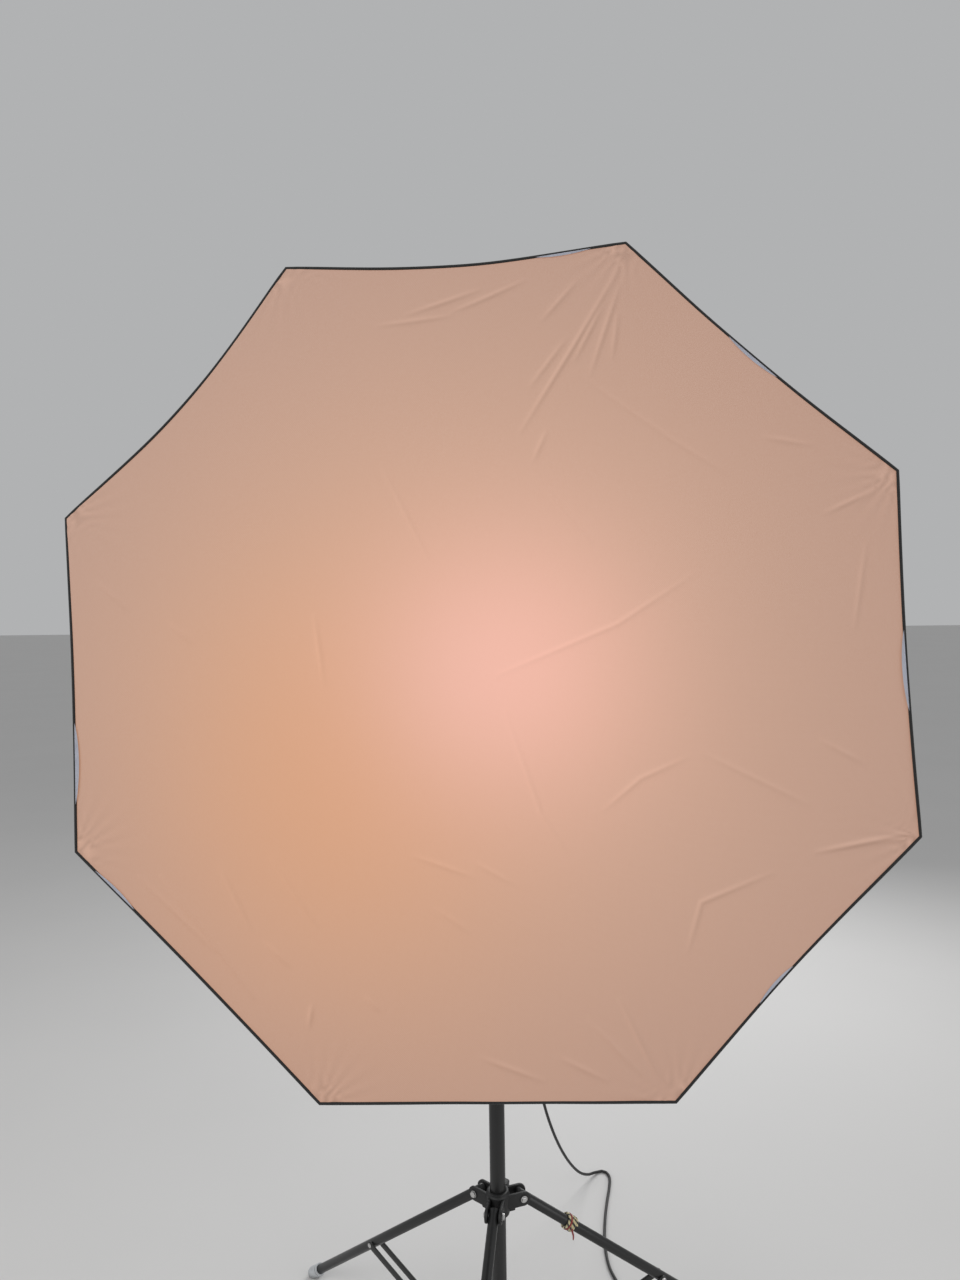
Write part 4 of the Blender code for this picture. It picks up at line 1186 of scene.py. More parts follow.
def make_foot(side, place, reach):
    """A pale rubber boot with a seam round its mouth, worn flat where it stands."""
    radius = 0.013
    start = reach - 0.021
    end = reach + 0.015
    bore = leg_radius + gap
    profile = [
        (0, end),
        (radius - 0.0035, end),
        (radius - 0.0008, end - 0.0022),
        (radius, end - 0.005),
        (radius, end - 0.010),
        (radius - 0.0006, end - 0.0106),
        (radius - 0.0006, end - 0.0118),
        (radius, end - 0.0124),
        (radius - 0.0002, start + 0.0062),
        (radius - 0.0011, start + 0.0054),
        (radius - 0.0011, start + 0.0040),
        (radius - 0.0003, start + 0.0032),
        (radius - 0.0003, start + 0.0010),
        (radius - 0.0013, start),
        (bore, start),
        (bore, reach + gap),
        (0, reach + gap),
    ]
    boot = moved(turned(profile, 64), place)
    cut = bmesh.ops.bisect_plane(
        boot, geom=boot.verts[:] + boot.edges[:] + boot.faces[:], plane_co=(0, 0, 0.0), plane_no=(0, 0, -1),
        clear_outer=True,
    )
    rim = [item for item in cut["geom_cut"] if isinstance(item, bmesh.types.BMEdge)]
    bmesh.ops.holes_fill(boot, edges=rim, sides=0)
    bmesh.ops.recalc_face_normals(boot, faces=boot.faces)
    piece(f"foot_boot_{side}", boot, RUBBER, f"leg_{side}", f"foot_{side}")
    seam = turned(wall_ring(bore + 0.001, radius - 0.0008, start + 0.0042, start + 0.0052), 48)
    piece(f"foot_seam_{side}", seam, MOULDING, f"leg_{side}", (), place)


def make_braces(side, pivot):
    collar_level = middle_of("lower_collar").z
    heading = heading_of(side)
    lower = column + Vector((pivot_radius * cos(heading), pivot_radius * sin(heading), collar_level))
    along = (lower - pivot).normalized()
    long = (lower - pivot).length
    pin = Vector((-sin(heading), cos(heading), 0.0))
    place = axes(pivot, along, pin.cross(along), pin)
    half = 0.007
    thickness = brace_thickness
    for label, hand in (("a", 1), ("b", -1)):
        outline = arc((0, 0), half, pi / 2, 3 * pi / 2, 14) + arc((long, 0), half, -pi / 2, pi / 2, 14)
        flat = plate(outline, thickness, 0.0006, 3)
        head = turned([(0, 0), (0.0044, 0), (0.0038, 0.0008), (0.0022, 0.0013), (0, 0.0014)], 28)
        level = hand * (fork_half + thickness / 2)
        shape = moved(flat, at(0, 0, level))
        body = f"brace_{side}"
        node = f"brace_{side}_{label}"
        piece(f"brace_bar_{side}_{label}", shape, PAINT, body, node, place)
        seat = at(long, 0, level + hand * thickness / 2)
        if hand < 0:
            seat = seat @ turn(pi, "X")
        piece(f"brace_rivet_head_{side}_{label}", head, STEEL, body, (), place @ seat)


def make_leg_tie():
    """Striped cord wound round the right leg, with a red whipping at its middle and a short red tail."""
    place = leg_frame("right")
    spot = place.inverted() @ middle_of("leg_tie")
    long = 0.026
    start = spot.z - long / 2 + tie_cord_radius
    wound_radius = leg_radius + gap + tie_cord_radius
    turns = 4.6
    first_angle = 0.6
    steps = int(turns * 22)
    rise = (long - 2 * tie_cord_radius) / turns

    def on_helix(share):
        angle = 2 * pi * turns * share + first_angle
        level = start + rise * turns * share
        return place @ Vector((wound_radius * cos(angle), wound_radius * sin(angle), level))

    winding = tube([on_helix(k / steps) for k in range(steps + 1)], tie_cord_radius, 12)
    piece("leg_cord", winding, STRIPED, "leg_right", "leg_tie")
    band_angle = 2 * pi * 1.9 + first_angle
    band_turns = 1.3
    band_steps = 30
    band_reach = wound_radius + 0.0012
    band = [
        place @ Vector((
            band_reach * cos(band_angle + 2 * pi * band_turns * k / band_steps),
            band_reach * sin(band_angle + 2 * pi * band_turns * k / band_steps),
            spot.z - 0.006 + 0.004 * k / band_steps,
        ))
        for k in range(band_steps + 1)
    ]
    piece("leg_cord_band", tube(band, 0.0017, 10), RED, "leg_right")
    root = place @ Vector((0, 0, spot.z + 0.008))
    aim = bpy.context.scene.camera.matrix_world.translation - root
    aim.z = 0
    aim.normalize()
    outside = root + aim * (wound_radius + 0.0022)
    tail = smooth_route(
        [outside, outside + Vector((0.0010, -0.0008, -0.006)), outside + Vector((0.0026, -0.001, -0.013)),
         outside + Vector((0.0022, 0.0, -0.021))],
        0.0012,
    )
    piece("leg_cord_tail", tube(tail, lambda v: 0.0017 - 0.0006 * v ** 4, 10), RED, "leg_right")


make_tubes()
make_hub()
make_collar()
make_clamp("clamp_lower", "lower_clamp", "root", "lower_tube", "lower_clamp_knob_turn")
make_clamp("clamp_upper", "upper_clamp", "middle", "middle_tube", "upper_clamp_knob_turn")
make_knob("knob_hub", "hub_knob", "hub_knob", "hub_knob_turn", tube_radius + gap)
for clamp, tip_inside in (("lower_clamp", 0.0012), ("upper_clamp", 0.0027)):
    knob_name = f"{clamp}_knob"
    make_knob(f"knob_{clamp}", knob_name, knob_name, f"{knob_name}_turn", tube_radius - tip_inside)
for leg in legs:
    make_leg(leg)
make_leg_tie()


# ------------------------------------------------------------------ head
def carved(shape, tool):
    """One shape with another cut away."""
    work = []
    for source in (shape, tool):
        mesh = bpy.data.meshes.new("work")
        source.to_mesh(mesh)
        source.free()
        made = bpy.data.objects.new("work", mesh)
        bpy.context.scene.collection.objects.link(made)
        work.append(made)
    cut = work[0].modifiers.new("cut", "BOOLEAN")
    cut.operation = "DIFFERENCE"
    cut.solver = "EXACT"
    cut.object = work[1]
    evaluated = work[0].evaluated_get(bpy.context.evaluated_depsgraph_get())
    result = bmesh.new()
    result.from_mesh(evaluated.to_mesh())
    evaluated.to_mesh_clear()
    for made in work:
        mesh = made.data
        bpy.data.objects.remove(made)
        bpy.data.meshes.remove(mesh)
    return result


def make_stud():
    low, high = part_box("stud")
    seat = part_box("upper_tube")[1].z
    radius = 0.008
    flange = 0.0125
    flange_top = seat + 0.0063
    flange_foot = seat + 0.0003
    groove_middle = Vector(joints["socket_knob_turn"]["pos_m"]).z
    groove = (groove_middle - 0.005, groove_middle + 0.005)
    profile = [
        (0, high.z), (radius - 0.0015, high.z), (radius, high.z - 0.0015),
        (radius, groove[1] + 0.0012), (radius - 0.0015, groove[1]), (radius - 0.0015, groove[0]),
        (radius, groove[0] - 0.0012), (radius, flange_top), (flange, flange_top), (flange, flange_foot),
        (0.0095, flange_foot), (0.0092, low.z), (0, low.z),
    ]
    piece("column_stud", turned(profile, 56, 0.0003), STEEL, "upper", "stud", TO_COLUMN)


def make_socket():
    low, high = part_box("bracket_socket")
    tilt = Vector(joints["head_tilt"]["pos_m"])
    ear_radius = high.z - tilt.z
    top = tilt.z - ear_radius - 0.0015
    skin = (high.x - low.x) / 2
    bore = 0.0083
    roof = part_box("stud")[1].z + gap
    groove = skin - 0.0008
    profile = [
        (0, top), (skin - 0.0025, top), (skin, top - 0.0025), (skin, top - 0.010),
        (groove, top - 0.0108), (groove, top - 0.0118), (skin, top - 0.0126),
        (skin, low.z + 0.008), (groove, low.z + 0.0072), (groove, low.z + 0.0062),
        (skin, low.z + 0.0054), (skin, low.z + 0.002), (skin - 0.0018, low.z),
        (bore, low.z), (bore, roof), (0, roof),
    ]
    thick = 0.016
    root = top - tilt.z - 0.003
    outline = [(-ear_radius, root), (ear_radius, root)] + arc((0, 0), ear_radius, 0, pi, 24)
    ear = moved(plate(outline, thick, 0.0012, 3), at(0, 0, tilt.z) @ turn(pi / 2, "Z") @ turn(pi / 2, "X"))
    knob = Vector(joints["socket_knob_turn"]["pos_m"])
    boss = turned([(0.0035, 0), (0.0078, 0), (0.0068, 0.0032), (0.0045, 0.0032)], 40, 0.0005)
    moved(boss, at(-skin + 0.0012, 0, knob.z) @ turn(-pi / 2, "Y"))
    whole = together(turned(profile, 72), ear, boss)
    piece("tilt_socket", whole, MOULDING, "swivel", "bracket_socket", TO_COLUMN)


def make_bracket():
    """The saddle under the lamp and its two cheeks round the socket's ear."""
    low, high = local_box("tilt_bracket", TO_TILT)
    deep = 0.008
    wide = high.x - low.x
    middle = Vector((0, (low.y + high.y) / 2, high.z - deep / 2))
    saddle = bar((wide, high.y - low.y, deep), 0.0024, middle, 3)
    inner = 0.0086
    cheek_wide = 0.0045
    radius = -low.z
    rise = high.z - deep / 2
    outline = [(radius, rise), (-radius, rise)] + arc((0, 0), radius, pi, 2 * pi, 24)
    shapes = [saddle]
    for hand in (-1, 1):
        stand = at(hand * (inner + cheek_wide / 2), 0, 0) @ turn(pi / 2, "Z") @ turn(pi / 2, "X")
        shapes.append(moved(plate(outline, cheek_wide, 0.0010, 3), stand))
        for back in (-1, 1):
            rib_middle = (hand * (inner + cheek_wide + 0.001), back * 0.008, rise - 0.008)
            shapes.append(bar((0.0025, 0.004, 0.010), 0.0008, rib_middle))
        for back in (-0.026, 0.034):
            spot = at(hand * 0.019, back, high.z - deep - 0.0002) @ turn(pi, "X")
            shapes.append(moved(cap_screw(0.0034, 0.0024), spot))
    piece("lamp_saddle", together(*shapes), MOULDING, "lamp", "tilt_bracket", TO_TILT)


def make_tilt_handle():
    low, high = local_box("tilt_handle", TO_TILT)
    radius = (high.z - low.z) / 2
    thickness = 0.017
    seat = 0.0134
    head = high.x - thickness
    stand = TO_TILT @ at(head, 0, 0) @ turn(pi / 2, "Y")
    knob = lobed_knob(radius, thickness)
    neck_radius = 0.0075
    neck_profile = [
        (0, seat - head),
        (neck_radius, seat - head),
        (neck_radius, -0.003),
        (0.0066, 0.001),
        (0, 0.001),
    ]
    neck = turned(neck_profile, 40, 0.0005)
    piece("tilt_knob", together(knob, neck), MOULDING, "tilt_handle", "tilt_handle", stand)
    end = low.x - head
    bolt = together(
        turned([(0, -seat - head), (0.003, -seat - head), (0.003, seat - head), (0, seat - head)], 28),
        moved(hex_nut(0.0065, 0.0035), at(0, 0, end + 0.0004)),
        insert_cap(thickness, 0.0046, 0.004, 0.94, 0.96),
    )
    piece("tilt_bolt", bolt, STEEL, "tilt_handle", (), stand)


housing_radius = 0.058
housing_back = -0.185
housing_front = 0.060
cover_back = -0.2153
mount_back = 0.0603
mount_front = 0.0750
screw_angles = (pi / 2, pi * 7 / 6, -pi / 6)      # of the mount ring's and the cover's screws
switch_spot = (-0.022, 0.004)
dial_spot = (0.022, 0.004)


def make_housing():
    """A rolled can with two beads, two rows of vent slots and four screws at its mouth."""
    steps = 72
    outer = housing_radius
    wall = 0.0025
    bands = ((-0.168, -0.140), (-0.128, -0.100))
    profile = [(outer - wall, housing_back), (outer - 0.0006, housing_back), (outer, housing_back + 0.0006)]
    for start, end in bands:
        profile += [(outer, start), (outer, end)]
    for bead in (-0.080, 0.036):
        profile += [(outer, bead - 0.003), (outer - 0.0012, bead - 0.001)]
        profile += [(outer - 0.0012, bead + 0.001), (outer, bead + 0.003)]
    profile += [(outer, housing_front - 0.0006), (outer - 0.0006, housing_front)]
    profile.append((outer - wall, housing_front))
    shape = turned(profile, steps)
    vents = []
    for face in shape.faces:
        middle = face.calc_center_median()
        index = round(((atan2(middle.y, middle.x) + 2 * pi) / (2 * pi) * steps) - 0.5)
        inside_band = any(start < middle.z < end for start, end in bands)
        if inside_band and middle.xy.length > outer - 0.001 and index % 2 == 0 and index % 12 not in (0, 10):
            vents.append(face)
    bmesh.ops.inset_individual(shape, faces=vents, thickness=0.0007, depth=0.0)
    bmesh.ops.inset_individual(shape, faces=vents, thickness=0.0002, depth=-0.0016)
    piece("lamp_can", shape, PAINT, "lamp", "lamp_housing", TO_OPTIC)
    screws = []
    for k in range(4):
        angle = pi / 4 + k * pi / 2
        stand = turn(angle, "Z") @ at(outer - 0.0002, 0, 0.050) @ turn(pi / 2, "Y")
        screws.append(moved(cap_screw(0.0028, 0.0016), stand))
    piece("can_screws", together(*screws), STEEL, "lamp", (), TO_OPTIC)


def make_mount():
    """The notched alloy ring that the softbox locks into."""
    steps = 96
    outer = 0.072
    bore = 0.040
    shape = turned(
        [(outer - 0.0015, mount_front), (outer, mount_front - 0.0015), (outer, mount_front - 0.004),
         (outer - 0.001, mount_front - 0.005), (outer - 0.001, mount_back + 0.004),
         (outer, mount_back + 0.003), (outer, mount_back), (bore, mount_back),
         (bore, mount_front - 0.001), (bore + 0.001, mount_front)],
        steps,
    )
    level = (mount_back + mount_front) / 2
    shape = carved(shape, bar((0.022, 0.0132, 0.0092), 0, (0.068, 0, level)))
    for angle in (pi / 3, pi, -pi / 3):
        notch = bar((0.008, 0.010, 0.030), 0)
        shape = carved(shape, moved(notch, turn(angle, "Z") @ at(bore + 0.002, 0, level)))
    piece("bayonet_ring", shape, ALLOY, "lamp", "mount_ring", TO_OPTIC)
    screws = [
        moved(
            cap_screw(0.0032, 0.0010),
            turn(angle, "Z") @ at(0.062, 0, mount_back - 0.0002) @ turn(pi, "X"),
        )
        for angle in screw_angles
    ]
    piece("bayonet_screws", together(*screws), STEEL, "lamp", (), TO_OPTIC)
    low, high = local_box("release_button", TO_OPTIC)
    middle = (low + high) / 2
    size = high - low
    ribs = [bar((0.0008, size.y * 0.8, size.z * 0.8), 0.0003, (size.x / 2 - 0.0002, 0, 0))]
    ribs += [
        bar((0.0012, 0.0010, size.z * 0.7), 0.0004, (size.x / 2 + 0.0002, 0.0028 * k, 0))
        for k in (-1, 0, 1)
    ]
    button = together(bar(tuple(size), 0.0012, (0, 0, 0), 3), *ribs)
    piece("catch_button", button, MOULDING, "release_button", "release_button",
          TO_OPTIC @ Matrix.Translation(middle))


def make_bulb():
    low, high = local_box("lamp_socket", TO_OPTIC)
    deck = (high.x - low.x) / 2
    front = high.z
    floor = front - 0.015
    neck = 0.0135
    holder = turned(
        [(0, floor), (neck + 0.0015, floor), (neck + 0.0015, front - 0.001), (neck + 0.0025, front),
         (0.0185, front), (0.020, front - 0.0015), (0.020, front - 0.008), (0.0192, front - 0.009),
         (0.0192, front - 0.012), (0.020, front - 0.013), (0.020, low.z + 0.007), (0.023, low.z + 0.004),
         (deck, low.z + 0.004), (deck, low.z), (0, low.z)],
        56,
    )
    piece("bulb_holder", holder, CERAMIC, "lamp", "lamp_socket", TO_OPTIC)
    tip = local_box("bulb", TO_OPTIC)[1].z
    radius = 0.030
    swell = tip - radius
    profile = [(radius * cos(a), swell + radius * sin(a)) for a in (k * pi / 28 for k in range(14, -1, -1))]
    profile[0] = (0, tip)
    profile += [(radius * 0.985, swell - 0.006), (radius * 0.93, swell - 0.014)]
    profile += [(radius * 0.80, swell - 0.024), (radius * 0.66, swell - 0.036)]
    profile += [(radius * 0.53, front + 0.020), (neck + 0.0005, front + 0.008)]
    profile += [(neck, front + 0.002), (neck, floor + gap), (0, floor + gap)]
    piece("lamp_globe", turned(profile, 56), GLASS, "lamp", "bulb", TO_OPTIC)
    thread = tube(
        [Vector((0.0128 * cos(a), 0.0128 * sin(a), floor + 0.002 + 0.011 * a / (8 * pi)))
         for a in (k * pi / 10 for k in range(81))],
        0.0009,
        8,
    )
    piece("globe_thread", thread, STEEL, "lamp", (), TO_OPTIC)


def make_cover():
    front = housing_back - gap
    outer = housing_radius
    shape = turned(
        [(outer - 0.0033, front + 0.006), (outer - 0.0033, front),
         (outer - 0.0008, front), (outer, front - 0.0008),
         (outer, front - 0.008), (outer - 0.0010, front - 0.009), (outer - 0.0010, front - 0.0105),
         (outer, front - 0.0115), (outer, cover_back + 0.005), (outer - 0.0014, cover_back + 0.0017),
         (outer - 0.005, cover_back), (0, cover_back), (0, cover_back + 0.003),
         (outer - 0.007, cover_back + 0.003), (outer - 0.003, cover_back + 0.007),
         (outer - 0.003, front - 0.004), (outer - 0.0063, front - 0.004), (outer - 0.0063, front + 0.006)],
        96,
    )
    level = cover_back
    screw_circle = 0.047
    shapes = [shape]
    for hand in (-1, 1):
        for k in range(5):
            drop = -0.024 - 0.005 * k
            reach = (screw_circle ** 2 - drop ** 2) ** 0.5
            rib_middle = (hand * (reach + 0.006) / 2, drop, level - 0.0003)
            shapes.append(bar((reach - 0.006, 0.0022, 0.0012), 0.0005, rib_middle))
    hole = bar((0.0098, 0.0202, 0.020), 0)
    frame_ring = bar((0.0150, 0.0256, 0.0022), 0.0009, (0, 0, 0), 2)
    shapes.append(moved(carved(frame_ring, hole), at(*switch_spot, level - 0.0003)))
    dial_rim = turned(wall_ring(0.0122, 0.0140, -0.0009, 0.0006), 64, 0.0003)
    shapes.append(moved(dial_rim, at(*dial_spot, level)))
    for angle in screw_angles:
        screw_rim = turned(wall_ring(0.0034, 0.0050, -0.0008, 0.0006), 40, 0.0003)
        shapes.append(moved(screw_rim, turn(angle, "Z") @ at(screw_circle, 0, level)))
    whole = together(*shapes)
    whole = carved(whole, bar((0.0096, 0.0198, 0.012), 0, (*switch_spot, level)))
    piece("back_cover", whole, MOULDING, "lamp", "rear_cover", TO_OPTIC)
    screws = [
        moved(
            cap_screw(0.0030, 0.0012),
            turn(angle, "Z") @ at(screw_circle, 0, level + 0.0002) @ turn(pi, "X"),
        )
        for angle in screw_angles
    ]
    piece("cover_screws", together(*screws), STEEL, "lamp", (), TO_OPTIC)
    ticks = []
    for k in range(11):
        angle = radians(-240 + 30 * k)
        long = 0.0026 if k % 5 == 0 else 0.0016
        stand = at(*dial_spot, level - 0.0001) @ turn(angle, "Z") @ at(0.0150 + long / 2, 0, 0)
        ticks.append(moved(bar((long, 0.0006, 0.0002), 0), stand))
    piece("dial_marks", together(*ticks), MARKS, "lamp", (), TO_OPTIC)


def make_controls():
    low, high = local_box("power_switch", TO_OPTIC)
    middle = (low + high) / 2
    size = Vector((0.009, 0.018, 0.009))
    outline = [(-size.y / 2, 0.0045), (size.y / 2, 0.0045), (size.y / 2, -0.0045), (size.y / 4, -0.0036),
               (0, -0.0033), (-size.y / 4, -0.0036), (-size.y / 2, -0.0045)]
    rocker = moved(plate(outline, size.x, 0.0006, 2), turn(pi / 2, "Z") @ turn(pi / 2, "X"))
    stand = TO_OPTIC @ Matrix.Translation(middle) @ turn(radians(8), "X")
    piece("rocker", rocker, MOULDING, "power_switch", "power_switch", stand)
    marks = together(
        bar((0.0006, 0.0034, 0.0003), 0, (0, 0.0048, -0.0040)),
        moved(turned(wall_ring(0.0011, 0.0016, -0.00015, 0.00015), 32), at(0, -0.0048, -0.0040)),
    )
    piece("rocker_marks", marks, MARKS, "power_switch", (), stand)

    radius = 0.011
    back = cover_back - 2 * gap
    long = 0.014 - 2 * gap
    dial = turned(
        [(0, 0.008), (0.003, 0.008), (0.003, 0), (radius, 0), (radius, -0.0025), (radius - 0.0006, -0.0032),
         (radius - 0.0002, -0.0040), (radius - 0.0012, -long + 0.0010), (radius - 0.0024, -long),
         (radius - 0.0050, -long), (radius - 0.0056, -long + 0.0006), (0, -long + 0.0006)],
        96,
    )
    for vert in dial.verts:
        if vert.co.z < -0.0036 and vert.co.xy.length > radius - 0.002:
            vert.co.xy = vert.co.xy * (1 - 0.035 * (0.5 - 0.5 * cos(24 * atan2(vert.co.y, vert.co.x))))
    stand = TO_OPTIC @ at(*dial_spot, back)
    piece("dial", dial, MOULDING, "dimmer_knob", "dimmer_knob", stand)
    pointer = bar((0.0009, 0.0048, 0.0004), 0, (0, 0.0070, -long - 0.0001))
    piece("dial_pointer", pointer, MARKS, "dimmer_knob", (), stand)


make_stud()
make_socket()
make_knob("knob_socket", "socket_knob", "socket_knob", "socket_knob_turn", 0.0068)
make_bracket()
make_tilt_handle()
make_housing()
make_mount()
make_bulb()
make_cover()
make_controls()


# ------------------------------------------------------------------ softbox
rim_corners = [
    Vector((0.565, 0.230)),
    Vector((0.235, 0.555)),
    Vector((-0.225, 0.557)),
    Vector((-0.545, 0.230)),
    Vector((-0.540, -0.225)),
    Vector((-0.215, -0.560)),
    Vector((0.245, -0.560)),
    Vector((0.565, -0.235)),
]
edge_sags = (0.007, 0.014, 0.019, 0.003, 0.002, 0.0, 0.006, 0.004)      # how far each edge is pulled inwards
rim_level = 0.435
binding_radius = 0.0020
ring_front = 0.1000
ring_back = 0.0753
skin_lift = 0.005                 # from a rod's line out to the shell
rod_length = 0.68
rod_root = (0.072, 0.08765)       # radius and depth where a rod leaves the ring
rod_swell = (0.420, 0.170)        # the point that pulls its curve outwards
rod_tip = (0.594, 0.4335)


def edge_place(k, f):
    """A point on the rim's edge k at the share f, with the edge's inward pull."""
    one, other = rim_corners[k % sides], rim_corners[(k + 1) % sides]
    straight = one.lerp(other, f)
    run = other - one
    inward = Vector((-run.y, run.x)).normalized()
    ripple = 0.0008 * noise.noise(Vector((straight.x * 9, straight.y * 9, 4.0)))
    pull = edge_sags[k % sides] * sin(pi * f) ** 1.2 + ripple * sin(pi * f)
    return straight + inward * pull


def rod_profile(share):
    """Radius and depth of the sprung rod's line."""
    rest = 1 - share
    return tuple(
        rest * rest * a + 2 * rest * share * b + share * share * c
        for a, b, c in zip(rod_root, rod_swell, rod_tip)
    )


def rod_outward(share):
    """Outward normal of the rod's line, in radius and depth."""
    near, far = rod_profile(max(share - 0.01, 0)), rod_profile(min(share + 0.01, 1))
    run = (far[0] - near[0], far[1] - near[1])
    size = hypot(*run)
    return run[1] / size, -run[0] / size


def on_rod(k, share, out=0.0):
    """A point over rod k, lifted outwards from its line."""
    radius, depth = rod_profile(share)
    normal = rod_outward(share)
    corner = rim_corners[k % sides]
    heading = corner_turn + 2 * pi * (k % sides) / sides
    aim = atan2(corner.y, corner.x)
    swing = (aim - heading + pi) % (2 * pi) - pi
    angle = heading + swing * share
    scale = 1 + (corner.length / 0.6 - 1) * share
    reach = (radius + normal[0] * out) * scale
    return Vector((reach * cos(angle), reach * sin(angle), depth + normal[1] * out))


def on_skin(around, share, out=skin_lift):
    """A point on the shell: around runs from 0 to 8 over the gores and share from the ring to the rim."""
    k = int(around) if around < sides else sides - 1
    f = around - k
    one, other = on_rod(k, share, out), on_rod(k + 1, share, out)
    point = one.lerp(other, f)
    run = rim_corners[(k + 1) % sides] - rim_corners[k % sides]
    inward = Vector((-run.y, run.x)).normalized()
    hollow = 0.020 * sin(pi * share) * sin(pi * f) ** 2
    slack = 0.0022 * noise.noise(Vector((point.x * 9, point.y * 9, point.z * 5))) * sin(pi * share)
    normal = rod_outward(share)
    straight = rim_corners[k % sides].lerp(rim_corners[(k + 1) % sides], f)
    edge_pull = (edge_place(k, f) - straight).length * share ** 3
    point.xy += inward * (edge_pull + (hollow + slack) * normal[0])
    point.z -= (hollow + slack) * normal[1]
    return point


def make_ring():
    """The speedring, with a drilled lug for each rod."""
    outer = 0.080
    bore = 0.060
    body = turned(
        [(outer - 0.001, ring_front), (outer, ring_front - 0.001), (outer, ring_front - 0.007),
         (outer - 0.0012, ring_front - 0.008), (outer - 0.0012, ring_back + 0.008),
         (outer, ring_back + 0.007), (outer, ring_back + 0.001), (outer - 0.001, ring_back),
         (bore + 0.001, ring_back), (bore, ring_back + 0.001),
         (bore, ring_front - 0.001), (bore + 0.001, ring_front)],
        96,
    )
    shapes = [body]
    for k in range(sides):
        heading = corner_turn + 2 * pi * k / sides
        lug = turned([(0.0029, 0), (0.0058, 0), (0.0052, 0.008), (0.0029, 0.008)], 32, 0.0005)
        lean = turn(pi / 2 - atan2(rod_swell[1] - rod_root[1], rod_swell[0] - rod_root[0]), "Y")
        shapes.append(moved(lug, turn(heading, "Z") @ at(outer - 0.005, 0, 0.0889) @ lean))
        clip = cap_screw(0.0022, 0.0014)
        shapes.append(moved(clip, turn(heading, "Z") @ at(outer - 0.008, 0, ring_front - 0.0004)))
    piece("rod_ring", together(*shapes), ALLOY, "softbox", "speedring", TO_SOFTBOX)


def make_rods():
    for k in range(sides):
        line = [on_rod(k, share / 40) for share in range(0, 40)] + [on_rod(k, 0.985)]
        cap = tube([on_rod(k, 0.955 + 0.0075 * step) for step in range(5)], 0.0033, 16)
        rod = tube(line, 0.002, 12)
        piece(f"spring_rod_{k + 1}", rod, STEEL, "softbox", f"rod_{k + 1}", TO_SOFTBOX)
        piece(f"rod_cap_{k + 1}", cap, MOULDING, "softbox", (), TO_SOFTBOX)


def make_shell():
    start = 0.035
    columns = sides * 18
    rows = 44
    around_length = 3.6
    depth_length = 0.70

    def place(u, v):
        return on_skin(min(u * sides, sides - 1e-9), start + (1.0 - start) * v)

    shape = surface(place, columns, rows, around_length, depth_length)
    bmesh.ops.remove_doubles(shape, verts=shape.verts, dist=1e-5)
    bmesh.ops.recalc_face_normals(shape, faces=shape.faces)
    test = max(shape.faces, key=lambda f: f.calc_center_median().xy.length)
    if test.normal.dot(test.calc_center_median() - Vector((0, 0, 0.5))) < 0:
        bmesh.ops.reverse_faces(shape, faces=shape.faces)
    shell = piece(
        "shell_fabric", shape, NYLON, "softbox", "shell", TO_SOFTBOX, 0.0009, SILVER
    )

    tapes = [seam_tape(k, 0.045, 0.985, 0.0065, 0.0012) for k in range(sides)]
    tape = piece("seam_tapes", together(*tapes), BINDING, "softbox", (), TO_SOFTBOX)
    pockets = [seam_tape(k, 0.945, 0.997, 0.019, 0.0022) for k in range(sides)]
    pocket = piece("corner_pockets", together(*pockets), BINDING, "softbox", (), TO_SOFTBOX)
    stitching = make_stitches()
    cuff = make_cuff()
    return shell, [tape, pocket, stitching, cuff, make_skirt()]


def seam_tape(k, start, end, half_width, lift):
    """A strip of binding folded over a corner of the shell."""
    rows = max(6, int((end - start) * 48))

    def place(u, v):
        share = start + (end - start) * v
        edge = (on_rod(k, share) - on_rod(k + 1, share)).length
        around = (k + (u - 0.5) * 2 * half_width / edge) % sides
        return on_skin(around, share, skin_lift + lift)

    strip = surface(place, 8, rows, 2 * half_width, rod_length * (end - start))
    bmesh.ops.solidify(strip, geom=strip.faces[:], thickness=0.0006)
    bmesh.ops.recalc_face_normals(strip, faces=strip.faces)
    return strip


def make_stitches():
    stitches = bmesh.new()
    corners = [Vector((a, b, c)) for a in (-1, 1) for b in (-1, 1) for c in (-1, 1)]
    quads = ((0, 1, 3, 2), (4, 6, 7, 5), (0, 4, 5, 1), (2, 3, 7, 6), (0, 2, 6, 4), (1, 5, 7, 3))
    spacing = 0.0075 / rod_length
    beside_seam = 0.0048
    thread_lift = 0.0066
    half = (0.0016, 0.00035, 0.0003)      # half a stitch's length, width and height
    for k in range(sides):
        for hand in (-1, 1):
            share = 0.055
            while share < 0.93:
                edge = (on_rod(k, share) - on_rod(k + 1, share)).length
                around = (k + hand * beside_seam / edge) % sides
                here = on_skin(around, share, thread_lift)
                beyond = on_skin(around, share + 0.004, thread_lift)
                ahead = (beyond - here).normalized()
                out = (on_skin(around, share, 0.0080) - here).normalized()
                across = ahead.cross(out)
                verts = [
                    stitches.verts.new(
                        here + ahead * c.x * half[0] + across * c.y * half[1] + out * c.z * half[2]
                    )
                    for c in corners
                ]
                for quad in quads:
                    stitches.faces.new([verts[i] for i in quad])
                share += spacing
    bmesh.ops.recalc_face_normals(stitches, faces=stitches.faces)
    return piece("seam_stitches", stitches, THREAD, "softbox", (), TO_SOFTBOX)


gathers = 44                      # folds that the elastic makes round the ring


